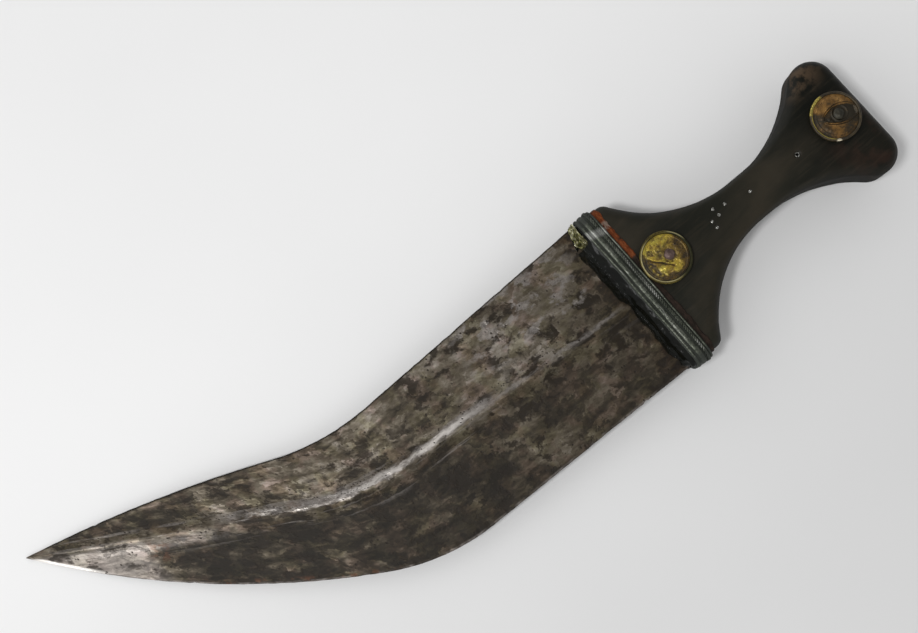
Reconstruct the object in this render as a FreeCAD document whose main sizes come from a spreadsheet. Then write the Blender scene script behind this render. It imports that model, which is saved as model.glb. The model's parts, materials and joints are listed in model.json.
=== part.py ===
import FreeCAD, Part
import math
import os

import Sketcher
from FreeCAD import Placement, Rotation, Vector

# A curved double-edged dagger with a waisted horn hilt, lying on its side.
# Design frame, in millimetres: the blade's mid-plane is z = 0, +X runs along the
# hilt to the pommel and +Y points to the side that the blade's point bends to.
# Every finished piece then takes one shared placement, in which the dagger lies
# on a flat surface: on the collar's lower edge and on the blade's point.

SIZES = {
    # blade: edges, mid-rib and tang
    "edge_half": 0.25, "tip_along": -232.8, "tip_side": 72.2,
    "outer_root": -32.9, "outer_bend_along": -92.0, "outer_bend_side": -30.3,
    "outer_bend_radius": 85.0, "outer_joint_along": -133.0,
    "inner_root": 34.7, "inner_bend_along": -101.0, "inner_bend_side": 33.2,
    "inner_bend_radius": 95.0, "inner_joint_along": -141.0,
    "rib_root": -2.0, "rib_bend_along": -103.0, "rib_bend_side": 6.4,
    "rib_bend_radius": 95.0, "rib_joint_along": -143.0,
    "foot_half_width": 4.4, "foot_half_height": 1.7, "foot_lean": 0.28,
    "foot_tip_along": -228.0, "foot_tip_side": 68.6,
    "crest_half_width": 0.6, "crest_half_height": 3.3, "crest_lean": 0.58,
    "crest_tip_along": -222.0, "crest_tip_side": 65.0,
    "tang_start": -1.0, "tang_end": 62.0, "tang_root_half": 9.0, "tang_end_half": 5.0,
    "tang_thick": 4.0,
    # hilt: outline, thickness and tang socket
    "hilt_base": 2.5, "hilt_end": 111.3, "guard_half": 33.6, "guard_corner": 4.0,
    "guard_hollow": 48.0, "waist_half": 9.1, "waist_near": 55.5, "waist_far": 61.4,
    "pommel_hollow": 50.0, "pommel_round": 8.8, "hilt_half_thick": 9.8, "hilt_roll": 4.4,
    "grip_dip": 1.0, "grip_dip_radius": 400.0,
    "socket_end": 64.0, "socket_mouth_half": 11.0, "socket_end_half": 7.0,
    "socket_half_thick": 3.0,
    # resin bead and plug in the collar's mouth
    "bead_front": -5.0, "bead_middle": -2.0, "collar_front": 1.2,
    # collar: liner, sheet band and four raised wires
    "liner_thick": 0.4, "liner_end": 10.5, "band_thick": 0.7, "band_end": 8.0,
    # brass foil tucked between the blade and the collar
    "foil_back": 0.2, "foil_front": -3.3, "foil_base": 0.9, "foil_top": 9.4,
    "foil_near": 25.3, "foil_far": 34.9,
    # the two bosses on the front face
    "lower_boss_along": 17.9, "lower_boss_side": 3.0, "lower_boss_radius": 9.8,
    "upper_boss_along": 99.3, "upper_boss_side": 2.0, "upper_boss_radius": 9.5,
    "backing_radius": 7.2, "backing_thick": 0.6, "cup_thick": 0.5, "cup_wall": 1.1,
    "cup_wall_rise": 0.4, "disc_gap": 0.1, "disc_edge": 0.35, "disc_rise": 1.2,
    "disc_flat": 4.6, "rivet_shank": 1.6, "rivet_head": 2.1, "rivet_rise": 1.1,
    "lower_rivet_shift": 1.5, "upper_rivet_shift": 1.1, "rivet_clearance": 0.1,
    "burr_radius": 3.4, "burr_thick": 0.8, "burr_sink": 0.1,
    # small nails in the grip
    "pin_head": 0.75, "pin_head_rise": 0.45, "pin_shank": 0.4, "pin_depth": 3.4,
    "eyelet_radius": 0.95, "eyelet_bore": 0.5, "eyelet_depth": 3.0, "eyelet_rise": 0.3,
}

# raised wires on the collar: start and width along the hilt, and rise above the band
WIRES = [
    ("collar_wire_1", 1.5, 1.0, 0.5),
    ("collar_wire_2", 3.0, 2.0, 0.6),
    ("collar_wire_3", 5.5, 1.4, 0.6),
    ("collar_wire_4", 7.2, 0.8, 0.45),
]

# cross-sections of the resin bead, named after the size that places them: how much
# wider and higher each half is than the hilt's, and its corner radius
BEAD_SECTIONS = [
    ("bead_front", -2.4, -6.4, 2.0),
    ("bead_middle", -0.4, -1.7, 4.0),
    ("collar_front", 0.3, 0.3, 4.5),
]

# folds in the side view of the foil, as shares of its depth and height
FOIL_FOLDS = [
    (0, 0), (0, 1), (0.12, 1), (0.2, 0.78), (0.46, 0.62), (0.4, 0.44), (0.74, 0.29),
    (0.68, 0.17), (1, 0.07), (1, 0),
]

# small nail heads on the front of the grip: along the hilt and to the side
PINS = [(39.8, 2.0), (39.7, -0.7), (43.3, 2.3), (43.0, 5.3), (57.8, 1.5), (47.6, 4.0)]
EYELET = (79.7, 0.5)

doc = FreeCAD.newDocument("dagger")


def fill_sheet():
    """The spreadsheet that holds the driving sizes."""
    sheet = doc.addObject("Spreadsheet::Sheet", "Sizes")
    sizes = dict(SIZES)
    for label, start, width, rise in WIRES:
        sizes[label + "_start"] = start
        sizes[label + "_width"] = width
        sizes[label + "_rise"] = rise
    for label, wider, higher, corner in BEAD_SECTIONS:
        sizes[label + "_wider"] = wider
        sizes[label + "_higher"] = higher
        sizes[label + "_corner"] = corner
    for row, (name, value) in enumerate(sizes.items(), start=1):
        sheet.set("A%d" % row, name)
        sheet.set("B%d" % row, str(value))
        sheet.setAlias("B%d" % row, name)
    doc.recompute()
    return sheet


sheet = fill_sheet()


def size(name):
    """One driving size, read from the sheet."""
    return float(sheet.get(name))


def bind(thing, path, formula):
    """Bind a property to a formula in which each $name is a cell of the sheet."""
    thing.setExpression(path, formula.replace("$", "Sizes."))


def new_body(name):
    body = doc.addObject("PartDesign::Body", name)
    body.Label = name
    return body


def new_sketch(body, name, role, height=None, lean=None):
    """A sketch on one of the body's origin planes, raised by a formula and leaned about Y."""
    sketch = body.newObject("Sketcher::SketchObject", name)
    plane = [item for item in body.Origin.OriginFeatures if item.Role == role][0]
    sketch.AttachmentSupport = (plane, "")
    sketch.MapMode = "FlatFace"
    sketch.AttachmentOffset = Placement(Vector(), Rotation(Vector(0, 1, 0), 0.001 if lean else 0))
    if height:
        bind(sketch, "AttachmentOffset.Base.z", height)
    if lean:
        bind(sketch, "AttachmentOffset.Rotation.Angle", lean)
    return sketch


def constrain(sketch, kind, *rest):
    return sketch.addConstraint(Sketcher.Constraint(kind, *rest))


def measure(sketch, kind, rest, formula):
    """A driving dimension bound to a formula."""
    index = constrain(sketch, kind, *rest)
    bind(sketch, "Constraints[%d]" % index, formula)
    return index


def fix_point(sketch, geometry, end, along=None, side=None):
    """Dimension a point from the origin. Each is a pair: its value now and its formula."""
    if along:
        measure(sketch, "DistanceX", (-1, 1, geometry, end, along[0]), along[1])
    if side:
        measure(sketch, "DistanceY", (-1, 1, geometry, end, side[0]), side[1])


def add_line(sketch, start, end):
    return sketch.addGeometry(Part.LineSegment(Vector(*start, 0), Vector(*end, 0)), False)


def add_arc(sketch, centre, radius, start, end):
    """A counter-clockwise arc between two angles in radians."""
    circle = Part.Circle(Vector(*centre, 0), Vector(0, 0, 1), radius)
    return sketch.addGeometry(Part.ArcOfCircle(circle, start, end), False)


def add_circle(sketch, centre, radius):
    """A circle whose centre and radius are (value, formula) pairs."""
    (along, side) = centre
    circle = Part.Circle(Vector(along[0], side[0], 0), Vector(0, 0, 1), radius[0])
    index = sketch.addGeometry(circle, False)
    fix_point(sketch, index, 3, along, side)
    measure(sketch, "Radius", (index, radius[0]), radius[1])
    return index


def add_polygon(sketch, corners):
    """A closed outline of straight lines; each corner is a pair of (value, formula) pairs."""
    count = len(corners)
    points = [(along[0], side[0]) for along, side in corners]
    lines = [add_line(sketch, points[i], points[(i + 1) % count]) for i in range(count)]
    for i in range(count):
        constrain(sketch, "Coincident", lines[i], 2, lines[(i + 1) % count], 1)
        fix_point(sketch, lines[i], 1, corners[i][0], corners[i][1])


def add_rounded_rectangle(sketch, half_width, half_height, radius):
    """A rounded rectangle about the sketch's origin; each size is a (value, formula) pair."""
    wide = half_width[0]
    high = half_height[0]
    round_off = radius[0]
    arcs = []
    for quarter, (across, up) in enumerate([(1, 1), (-1, 1), (-1, -1), (1, -1)]):
        centre = (across * (wide - round_off), up * (high - round_off))
        start = quarter * math.pi / 2
        arcs.append(add_arc(sketch, centre, round_off, start, start + math.pi / 2))
    corners = [(wide - round_off, high), (-wide, high - round_off),
               (-wide + round_off, -high), (wide, -high + round_off)]
    ends = [(-wide + round_off, high), (-wide, -high + round_off),
            (wide - round_off, -high), (wide, high - round_off)]
    lines = [add_line(sketch, start, end) for start, end in zip(corners, ends)]
    for i in range(4):
        constrain(sketch, "Tangent", arcs[i], 2, lines[i], 1)
        constrain(sketch, "Tangent", lines[i], 2, arcs[(i + 1) % 4], 1)
        if i:
            constrain(sketch, "Equal", arcs[0], arcs[i])
    constrain(sketch, "Horizontal", lines[0])
    constrain(sketch, "Vertical", lines[1])
    measure(sketch, "Radius", (arcs[0], round_off), radius[1])
    fix_point(sketch, lines[0], 1, side=half_height)
    fix_point(sketch, lines[2], 1, side=(-high, "-(%s)" % half_height[1]))
    fix_point(sketch, lines[3], 1, along=half_width)
    fix_point(sketch, lines[1], 1, along=(-wide, "-(%s)" % half_width[1]))


def pad(body, sketch, length, both_sides=False, backwards=False):
    feature = body.newObject("PartDesign::Pad", sketch.Name + "_pad")
    feature.Profile = sketch
    bind(feature, "Length", length)
    feature.Midplane = both_sides
    feature.Reversed = backwards
    sketch.Visibility = False
    return feature


def cut_cylinder(name, centre, radius, bottom, top):
    """An upright round tool between two heights; radius is a formula."""
    tool = doc.addObject("Part::Cylinder", name)
    bind(tool, "Radius", radius)
    bind(tool, "Height", "%s - (%s)" % (top, bottom))
    bind(tool, "Placement.Base.x", centre[0])
    bind(tool, "Placement.Base.y", centre[1])
    bind(tool, "Placement.Base.z", bottom)
    return tool


def cut_with(label, base, tools):
    """The base less one tool or several."""
    cutter = tools[0]
    if len(tools) > 1:
        cutter = doc.addObject("Part::MultiFuse", label + "_tools")
        cutter.Shapes = tools
    result = doc.addObject("Part::Cut", label)
    result.Label = label
    result.Base = base
    result.Tool = cutter
    return result


# ---------------------------------------------------------------- blade

def edge_chain(sketch, root, bend, radius, joint, tip):
    """One long edge, from the root to the point: a straight run, a bend and a long arc.

    root, radius and joint are (value, formula) pairs; bend and tip are pairs of them.
    Returns the geometry indices of the straight run and of the last arc, with its tip end.
    """
    start = Vector(0, root[0], 0)
    turn = Vector(bend[0][0], bend[1][0], 0)
    point = Vector(tip[0][0], tip[1][0], 0)
    run = (turn - start).normalize()
    across = Vector(run.y, -run.x, 0)
    centre = turn + across * radius[0]
    drop = math.acos((centre.x - joint[0]) / radius[0])
    meet = Vector(joint[0], centre.y - radius[0] * math.sin(drop), 0)
    inward = (centre - meet).normalize()
    chord = point - meet
    swing = chord.Length ** 2 / (2 * chord.dot(inward))
    far_centre = meet + inward * swing

    def angle(place, middle):
        return math.atan2(place.y - middle.y, place.x - middle.x)

    line = add_line(sketch, (start.x, start.y), (turn.x, turn.y))
    bend_arc = add_arc(sketch, (centre.x, centre.y), radius[0], angle(meet, centre), angle(turn, centre))
    ends = (angle(point, far_centre), angle(meet, far_centre))
    meet_end, tip_end = 2, 1
    if swing < 0:
        ends = (ends[1], ends[0])
        meet_end, tip_end = 1, 2
    if ends[1] < ends[0]:
        ends = (ends[0], ends[1] + 2 * math.pi)
    long_arc = add_arc(sketch, (far_centre.x, far_centre.y), abs(swing), *ends)
    constrain(sketch, "Tangent", line, 2, bend_arc, 2)
    constrain(sketch, "Tangent", bend_arc, 1, long_arc, meet_end)
    fix_point(sketch, line, 1, (0, "0"), root)
    fix_point(sketch, line, 2, bend[0], bend[1])
    measure(sketch, "Radius", (bend_arc, radius[0]), radius[1])
    fix_point(sketch, bend_arc, 1, along=joint)
    fix_point(sketch, long_arc, tip_end, tip[0], tip[1])
    return line, long_arc, tip_end


def close_blade_outline(sketch, lower, upper):
    root = add_line(sketch, (0, 0), (0, 1))
    constrain(sketch, "Coincident", root, 1, lower[0], 1)
    constrain(sketch, "Coincident", root, 2, upper[0], 1)


def named(*names):
    """(value, formula) pairs for plain cells."""
    pairs = [(size(name), "$" + name) for name in names]
    return pairs[0] if len(pairs) == 1 else pairs


def draw_edges(sketch):
    """The blade's full outline, sharp edge to sharp edge."""
    tip = named("tip_along", "tip_side")
    lower = edge_chain(sketch, named("outer_root"), named("outer_bend_along", "outer_bend_side"),
                       named("outer_bend_radius"), named("outer_joint_along"), tip)
    upper = edge_chain(sketch, named("inner_root"), named("inner_bend_along", "inner_bend_side"),
                       named("inner_bend_radius"), named("inner_joint_along"), tip)
    close_blade_outline(sketch, lower, upper)


def draw_rib(sketch, part):
    """The mid-rib's outline at its foot or along its crest: the rib line moved to each side."""
    half = size(part + "_half_width")
    tip = named(part + "_tip_along", part + "_tip_side")
    chains = []
    for sign, symbol in ((-1, "-"), (1, "+")):
        move = " %s $%s_half_width" % (symbol, part)
        back = " %s $%s_half_width" % ("+" if symbol == "-" else "-", part)
        root = (size("rib_root") + sign * half, "$rib_root" + move)
        side = (size("rib_bend_side") + sign * half, "$rib_bend_side" + move)
        radius = (size("rib_bend_radius") - sign * half, "$rib_bend_radius" + back)
        chains.append(edge_chain(sketch, root, [named("rib_bend_along"), side], radius,
                                 named("rib_joint_along"), tip))
    close_blade_outline(sketch, chains[0], chains[1])


def make_blade_form():
    """Flat wings rising to a raised mid-rib that thins towards the point, and a flat tang."""
    body = new_body("blade_form")
    layers = [("crest", -1), ("foot", -1), ("edge", -1), ("edge", 1), ("foot", 1), ("crest", 1)]
    sketches = []
    for number, (part, side) in enumerate(layers):
        sign = "-" if side < 0 else ""
        height = "%s$%s_half_height" % (sign, part) if part != "edge" else sign + "$edge_half"
        lean = None if part == "edge" else "%s$%s_lean" % ("" if side < 0 else "-", part)
        sketch = new_sketch(body, "blade_%s_%d" % (part, number), "XY_Plane", height, lean)
        if part == "edge":
            draw_edges(sketch)
        else:
            draw_rib(sketch, part)
        sketches.append(sketch)
    doc.recompute()
    loft = body.newObject("PartDesign::AdditiveLoft", "blade_loft")
    loft.Profile = sketches[0]
    loft.Sections = sketches[1:]
    loft.Ruled = True
    tang = new_sketch(body, "tang_outline", "XY_Plane")
    draw_taper(tang, "tang_start", "tang_end", "tang_root_half", "tang_end_half")
    pad(body, tang, "$tang_thick", both_sides=True)
    doc.recompute()
    return body


def draw_taper(sketch, start, end, start_half, end_half):
    """A straight-sided taper along the hilt's axis."""
    corners = []
    for along, half, sign in ((start, start_half, -1), (end, end_half, -1),
                              (end, end_half, 1), (start, start_half, 1)):
        side = (sign * size(half), ("-$" if sign < 0 else "$") + half)
        corners.append((named(along), side))
    add_polygon(sketch, corners)


# ---------------------------------------------------------------- hilt

def draw_half_hilt(sketch):
    """Half the hilt's outline: guard wall, rounded corner, two long hollows and the pommel lobe."""
    base, end, guard, waist = (size(n) for n in ("hilt_base", "hilt_end", "guard_half", "waist_half"))
    corner, near, far, lobe = (size(n) for n in ("guard_corner", "guard_hollow", "pommel_hollow", "pommel_round"))
    near_centre = Vector(size("waist_near"), waist + near, 0)
    far_centre = Vector(size("waist_far"), waist + far, 0)
    drop = near_centre.y - (guard - corner)
    corner_centre = Vector(near_centre.x - math.sqrt((near + corner) ** 2 - drop ** 2), guard - corner, 0)
    reach = end - lobe - far_centre.x
    lobe_centre = Vector(end - lobe, far_centre.y - math.sqrt((far + lobe) ** 2 - reach ** 2), 0)
    near_angle = math.atan2(near_centre.y - corner_centre.y, near_centre.x - corner_centre.x)
    lobe_angle = math.atan2(far_centre.y - lobe_centre.y, far_centre.x - lobe_centre.x)

    face = add_line(sketch, (base, 0), (base, guard))
    wall = add_line(sketch, (base, guard), (corner_centre.x, guard))
    corner_arc = add_arc(sketch, (corner_centre.x, corner_centre.y), corner, near_angle, math.pi / 2)
    near_arc = add_arc(sketch, (near_centre.x, near_centre.y), near, near_angle + math.pi, 1.5 * math.pi)
    middle = add_line(sketch, (near_centre.x, waist), (far_centre.x, waist))
    far_arc = add_arc(sketch, (far_centre.x, far_centre.y), far, 1.5 * math.pi, lobe_angle + math.pi)
    lobe_arc = add_arc(sketch, (lobe_centre.x, lobe_centre.y), lobe, 0, lobe_angle)
    flat = add_line(sketch, (end, lobe_centre.y), (end, 0))
    axis = add_line(sketch, (end, 0), (base, 0))
    for first, first_end, second, second_end in (
            (wall, 2, corner_arc, 2), (corner_arc, 1, near_arc, 1), (near_arc, 2, middle, 1),
            (middle, 2, far_arc, 1), (far_arc, 2, lobe_arc, 2), (lobe_arc, 1, flat, 1)):
        constrain(sketch, "Tangent", first, first_end, second, second_end)
    for first, first_end, second, second_end in (
            (face, 2, wall, 1), (flat, 2, axis, 1), (axis, 2, face, 1)):
        constrain(sketch, "Coincident", first, first_end, second, second_end)
    for line in (wall, middle, axis):
        constrain(sketch, "Horizontal", line)
    for line in (face, flat):
        constrain(sketch, "Vertical", line)
    fix_point(sketch, face, 1, named("hilt_base"), (0, "0"))
    fix_point(sketch, wall, 1, side=named("guard_half"))
    fix_point(sketch, middle, 1, named("waist_near"), named("waist_half"))
    fix_point(sketch, middle, 2, along=named("waist_far"))
    fix_point(sketch, flat, 1, along=named("hilt_end"))
    for arc, name in ((corner_arc, "guard_corner"), (near_arc, "guard_hollow"),
                      (far_arc, "pommel_hollow"), (lobe_arc, "pommel_round")):
        measure(sketch, "Radius", (arc, size(name)), "$" + name)


def make_hilt_form():
    """The horn: a thick plate in the waisted outline, rolled edges, a dip at the grip, a socket."""
    body = new_body("hilt_form")
    outline = new_sketch(body, "hilt_outline", "XY_Plane")
    draw_half_hilt(outline)
    plate = pad(body, outline, "2 * $hilt_half_thick", both_sides=True)
    mirror = body.newObject("PartDesign::Mirrored", "hilt_mirror")
    mirror.Originals = [plate]
    mirror.MirrorPlane = ([f for f in body.Origin.OriginFeatures if f.Role == "XZ_Plane"][0], [""])
    body.Tip = mirror
    doc.recompute()
    roll = body.newObject("PartDesign::Fillet", "hilt_roll")
    roll.Base = (mirror, long_edges(mirror.Shape))
    bind(roll, "Radius", "$hilt_roll")
    doc.recompute()
    dip = new_sketch(body, "grip_dip", "XZ_Plane")
    draw_dips(dip)
    groove = body.newObject("PartDesign::Pocket", "grip_dip_cut")
    groove.Profile = dip
    groove.Type = "ThroughAll"
    groove.Midplane = True
    doc.recompute()
    socket = new_sketch(body, "socket_outline", "XY_Plane")
    draw_taper(socket, "hilt_base", "socket_end", "socket_mouth_half", "socket_end_half")
    hollow = body.newObject("PartDesign::Pocket", "socket_cut")
    hollow.Profile = socket
    bind(hollow, "Length", "2 * $socket_half_thick")
    hollow.Midplane = True
    doc.recompute()
    return body


def long_edges(shape):
    """The edges round the front and back faces, apart from those of the flat base."""
    half = size("hilt_half_thick")
    base = size("hilt_base")
    chosen = []
    for number, edge in enumerate(shape.Edges, start=1):
        heights = [abs(abs(vertex.Z) - half) < 1e-6 for vertex in edge.Vertexes]
        at_base = all(abs(vertex.X - base) < 1e-6 for vertex in edge.Vertexes)
        flat = abs(edge.Vertexes[0].Z - edge.Vertexes[-1].Z) < 1e-6
        if all(heights) and flat and not at_base:
            chosen.append("Edge%d" % number)
    return chosen


def draw_dips(sketch):
    """Two shallow circular segments that thin the grip, front and back."""
    middle = (size("waist_near") + size("waist_far")) / 2
    radius = size("grip_dip_radius")
    half = size("hilt_half_thick")
    depth = size("grip_dip")
    reach = math.sqrt(radius ** 2 - (radius - depth) ** 2)
    swing = math.atan2(reach, radius - depth)
    for side in (1, -1):
        centre_height = side * (half - depth + radius)
        turn = -side * math.pi / 2
        arc = add_arc(sketch, (middle, centre_height), radius, turn - swing, turn + swing)
        ends = (middle - reach, middle + reach) if side > 0 else (middle + reach, middle - reach)
        line = add_line(sketch, (ends[1], side * half), (ends[0], side * half))
        constrain(sketch, "Coincident", arc, 2, line, 1)
        constrain(sketch, "Coincident", line, 2, arc, 1)
        constrain(sketch, "Horizontal", line)
        measure(sketch, "Radius", (arc, radius), "$grip_dip_radius")
        fix_point(sketch, arc, 3, (middle, "($waist_near + $waist_far) / 2"),
                  (centre_height, "%d * ($hilt_half_thick - $grip_dip + $grip_dip_radius)" % side))
        fix_point(sketch, line, 1, side=(side * half, "%d * $hilt_half_thick" % side))


def grip_height(along):
    """Height of the front face at a place along the hilt."""
    middle = (size("waist_near") + size("waist_far")) / 2
    radius = size("grip_dip_radius")
    low = size("hilt_half_thick") - size("grip_dip")
    curve = low + radius - math.sqrt(radius ** 2 - (along - middle) ** 2)
    return min(size("hilt_half_thick"), curve)


# ---------------------------------------------------------------- collar and resin

def collar_layer(offset):
    """Half-width, half-height and corner of the hilt's base section grown by an offset."""
    grow = " + ".join("$" + name for name in offset) if offset else "0"
    extra = sum(size(name) for name in offset)
    return [(size("guard_half") + extra, "$guard_half + " + grow),
            (size("hilt_half_thick") + extra, "$hilt_half_thick + " + grow),
            (size("hilt_roll") + extra, "$hilt_roll + " + grow)]


def make_ring(label, start, length, inner, outer):
    """A closed ring round the hilt's base between two grown sections."""
    body = new_body(label)
    sketch = new_sketch(body, label + "_section", "YZ_Plane", start)
    add_rounded_rectangle(sketch, *collar_layer(outer))
    add_rounded_rectangle(sketch, *collar_layer(inner))
    pad(body, sketch, length)
    doc.recompute()
    return body


def make_wire(label):
    """A raised wire on the band, its outer corners rounded over."""
    inner = ["liner_thick", "band_thick"]
    outer = inner + [label + "_rise"]
    body = make_ring(label, "$%s_start" % label, "$%s_width" % label, inner, outer)
    wide, high, corner = (pair[0] for pair in collar_layer(inner))
    rise = size(label + "_rise")
    blank = body.Tip
    chosen = []
    for number, edge in enumerate(blank.Shape.Edges, start=1):
        spot = edge.valueAt((edge.FirstParameter + edge.LastParameter) / 2)
        flat = abs(edge.Vertexes[0].X - edge.Vertexes[-1].X) < 1e-6
        across = max(abs(spot.y) - (wide - corner), 0)
        up = max(abs(spot.z) - (high - corner), 0)
        if flat and math.hypot(across, up) - corner > rise / 2:
            chosen.append("Edge%d" % number)
    rounding = body.newObject("PartDesign::Fillet", label + "_rounding")
    rounding.Base = (blank, chosen)
    bind(rounding, "Radius", "0.42 * min($%s_width; 2 * $%s_rise)" % (label, label))
    return body


def make_pitch_form():
    """Black resin: a swelling bead before the collar, a plug in its mouth and the socket's fill."""
    body = new_body("pitch_form")
    sketches = []
    for label, wider, higher, corner in BEAD_SECTIONS:
        sketch = new_sketch(body, label + "_section", "YZ_Plane", "$" + label)
        add_rounded_rectangle(
            sketch,
            (size("guard_half") + wider, "$guard_half + $%s_wider" % label),
            (size("hilt_half_thick") + higher, "$hilt_half_thick + $%s_higher" % label),
            named(label + "_corner"))
        sketches.append(sketch)
    doc.recompute()
    bead = body.newObject("PartDesign::AdditiveLoft", "bead")
    bead.Profile = sketches[0]
    bead.Sections = sketches[1:]
    doc.recompute()
    plug = new_sketch(body, "plug_section", "YZ_Plane", "$collar_front")
    add_rounded_rectangle(plug, *collar_layer(["liner_thick"]))
    pad(body, plug, "$hilt_base - $collar_front")
    fill = new_sketch(body, "socket_fill_outline", "XY_Plane")
    draw_taper(fill, "hilt_base", "socket_end", "socket_mouth_half", "socket_end_half")
    pad(body, fill, "2 * $socket_half_thick", both_sides=True)
    doc.recompute()
    return body


def make_foil_space():
    """The notch that the foil fills in the bead."""
    box = doc.addObject("Part::Box", "foil_space")
    bind(box, "Length", "20 + $foil_back")
    bind(box, "Width", "20")
    bind(box, "Height", "20")
    bind(box, "Placement.Base.x", "-20")
    bind(box, "Placement.Base.y", "$foil_near - 0.1")
    bind(box, "Placement.Base.z", "$foil_base - 0.1")
    return box


def make_foil():
    """Crumpled brass foil packed between the blade and the collar."""
    body = new_body("brass_foil")
    sketch = new_sketch(body, "foil_profile", "XZ_Plane", "-$foil_far")
    deep = size("foil_front") - size("foil_back")
    tall = size("foil_top") - size("foil_base")
    corners = []
    for forward, up in FOIL_FOLDS:
        along = (size("foil_back") + forward * deep,
                 "$foil_back + %s * ($foil_front - $foil_back)" % forward)
        height = (size("foil_base") + up * tall,
                  "$foil_base + %s * ($foil_top - $foil_base)" % up)
        corners.append((along, height))
    add_polygon(sketch, corners)
    pad(body, sketch, "$foil_far - $foil_near")
    return body


# ---------------------------------------------------------------- bosses and rivets

def revolve(body, sketch):
    feature = body.newObject("PartDesign::Revolution", sketch.Name + "_turned")
    feature.Profile = sketch
    feature.ReferenceAxis = (sketch, ["V_Axis"])
    feature.Angle = 360
    return feature


def drill(body, name, shift):
    """A hole for the rivet, off the boss's centre by a shift along the hilt."""
    sketch = new_sketch(body, name, "XY_Plane")
    add_circle(sketch, [named(shift), (0, "0")],
               (size("rivet_shank") + size("rivet_clearance"), "$rivet_shank + $rivet_clearance"))
    hole = body.newObject("PartDesign::Pocket", name + "_cut")
    hole.Profile = sketch
    hole.Type = "ThroughAll"
    hole.Midplane = True


def make_backing(label, shift):
    """A round pad that seats the boss on the horn."""
    body = new_body(label)
    sketch = new_sketch(body, label + "_circle", "XY_Plane")
    add_circle(sketch, [(0, "0"), (0, "0")], named("backing_radius"))
    pad(body, sketch, "$backing_thick")
    doc.recompute()
    drill(body, label + "_hole", shift)
    return body


def make_cup(label, radius, shift):
    """A shallow cup: a thin floor and a rolled rim."""
    body = new_body(label)
    sketch = new_sketch(body, label + "_profile", "XZ_Plane")
    wide = size(radius)
    wall = size("cup_wall")
    floor = size("cup_thick")
    rise = size("cup_wall_rise")
    lines = [add_line(sketch, (0, floor), (0, 0)), add_line(sketch, (0, 0), (wide, 0)),
             add_line(sketch, (wide, 0), (wide, floor + rise)),
             add_line(sketch, (wide - wall, floor + rise), (wide - wall, floor)),
             add_line(sketch, (wide - wall, floor), (0, floor))]
    roll = add_arc(sketch, (wide - wall / 2, floor + rise), wall / 2, 0, math.pi)
    for first, first_end, second, second_end in (
            (lines[0], 2, lines[1], 1), (lines[1], 2, lines[2], 1), (lines[2], 2, roll, 1),
            (roll, 2, lines[3], 1), (lines[3], 2, lines[4], 1), (lines[4], 2, lines[0], 1)):
        constrain(sketch, "Coincident", first, first_end, second, second_end)
    fix_point(sketch, lines[0], 1, (0, "0"), (floor, "$cup_thick"))
    fix_point(sketch, lines[1], 1, (0, "0"), (0, "0"))
    fix_point(sketch, lines[2], 1, (wide, "$" + radius), (0, "0"))
    fix_point(sketch, lines[2], 2, (wide, "$" + radius), (floor + rise, "$cup_thick + $cup_wall_rise"))
    fix_point(sketch, lines[3], 1, (wide - wall, "$%s - $cup_wall" % radius),
              (floor + rise, "$cup_thick + $cup_wall_rise"))
    fix_point(sketch, lines[4], 1, (wide - wall, "$%s - $cup_wall" % radius), (floor, "$cup_thick"))
    fix_point(sketch, roll, 3, side=(floor + rise, "$cup_thick + $cup_wall_rise"))
    revolve(body, sketch)
    doc.recompute()
    drill(body, label + "_hole", shift)
    return body


def make_disc(label, radius, shift):
    """The struck disc in the cup: a raised middle with a sloping border."""
    body = new_body(label)
    sketch = new_sketch(body, label + "_profile", "XZ_Plane")
    wide = (size(radius) - size("cup_wall") - size("disc_gap"), "$%s - $cup_wall - $disc_gap" % radius)
    corners = [((0, "0"), (0, "0")), (wide, (0, "0")), (wide, named("disc_edge")),
               (named("disc_flat"), named("disc_rise")), ((0, "0"), named("disc_rise"))]
    add_polygon(sketch, corners)
    revolve(body, sketch)
    doc.recompute()
    drill(body, label + "_hole", shift)
    return body


def make_rivet(label):
    """A domed head and a shank that reaches through the hilt to its burr."""
    body = new_body(label)
    sketch = new_sketch(body, label + "_profile", "XZ_Plane")
    head = size("rivet_head")
    rise = size("rivet_rise")
    length = rivet_length()
    formula = "$disc_rise + $cup_thick + $backing_thick + 2 * $hilt_half_thick - $burr_sink"
    swing = (head ** 2 + rise ** 2) / (2 * rise)
    top = math.pi / 2
    dome = add_arc(sketch, (0, rise - swing), swing, top - math.asin(head / swing), top)
    lines = [add_line(sketch, (0, rise), (0, -length)),
             add_line(sketch, (0, -length), (size("rivet_shank"), -length)),
             add_line(sketch, (size("rivet_shank"), -length), (size("rivet_shank"), 0)),
             add_line(sketch, (size("rivet_shank"), 0), (head, 0))]
    for first, first_end, second, second_end in (
            (dome, 2, lines[0], 1), (lines[0], 2, lines[1], 1), (lines[1], 2, lines[2], 1),
            (lines[2], 2, lines[3], 1), (lines[3], 2, dome, 1)):
        constrain(sketch, "Coincident", first, first_end, second, second_end)
    fix_point(sketch, lines[0], 1, (0, "0"), (rise, "$rivet_rise"))
    fix_point(sketch, lines[1], 1, (0, "0"), (-length, "-(%s)" % formula))
    fix_point(sketch, lines[2], 1, named("rivet_shank"), (-length, "-(%s)" % formula))
    fix_point(sketch, lines[3], 1, named("rivet_shank"), (0, "0"))
    fix_point(sketch, lines[3], 2, named("rivet_head"), (0, "0"))
    fix_point(sketch, dome, 3, along=(0, "0"))
    revolve(body, sketch)
    return body


def rivet_length():
    """From the head's underside to the end that is hammered and filed level with the burr."""
    stack = ("disc_rise", "cup_thick", "backing_thick")
    return sum(size(name) for name in stack) + 2 * size("hilt_half_thick") - size("burr_sink")


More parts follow.
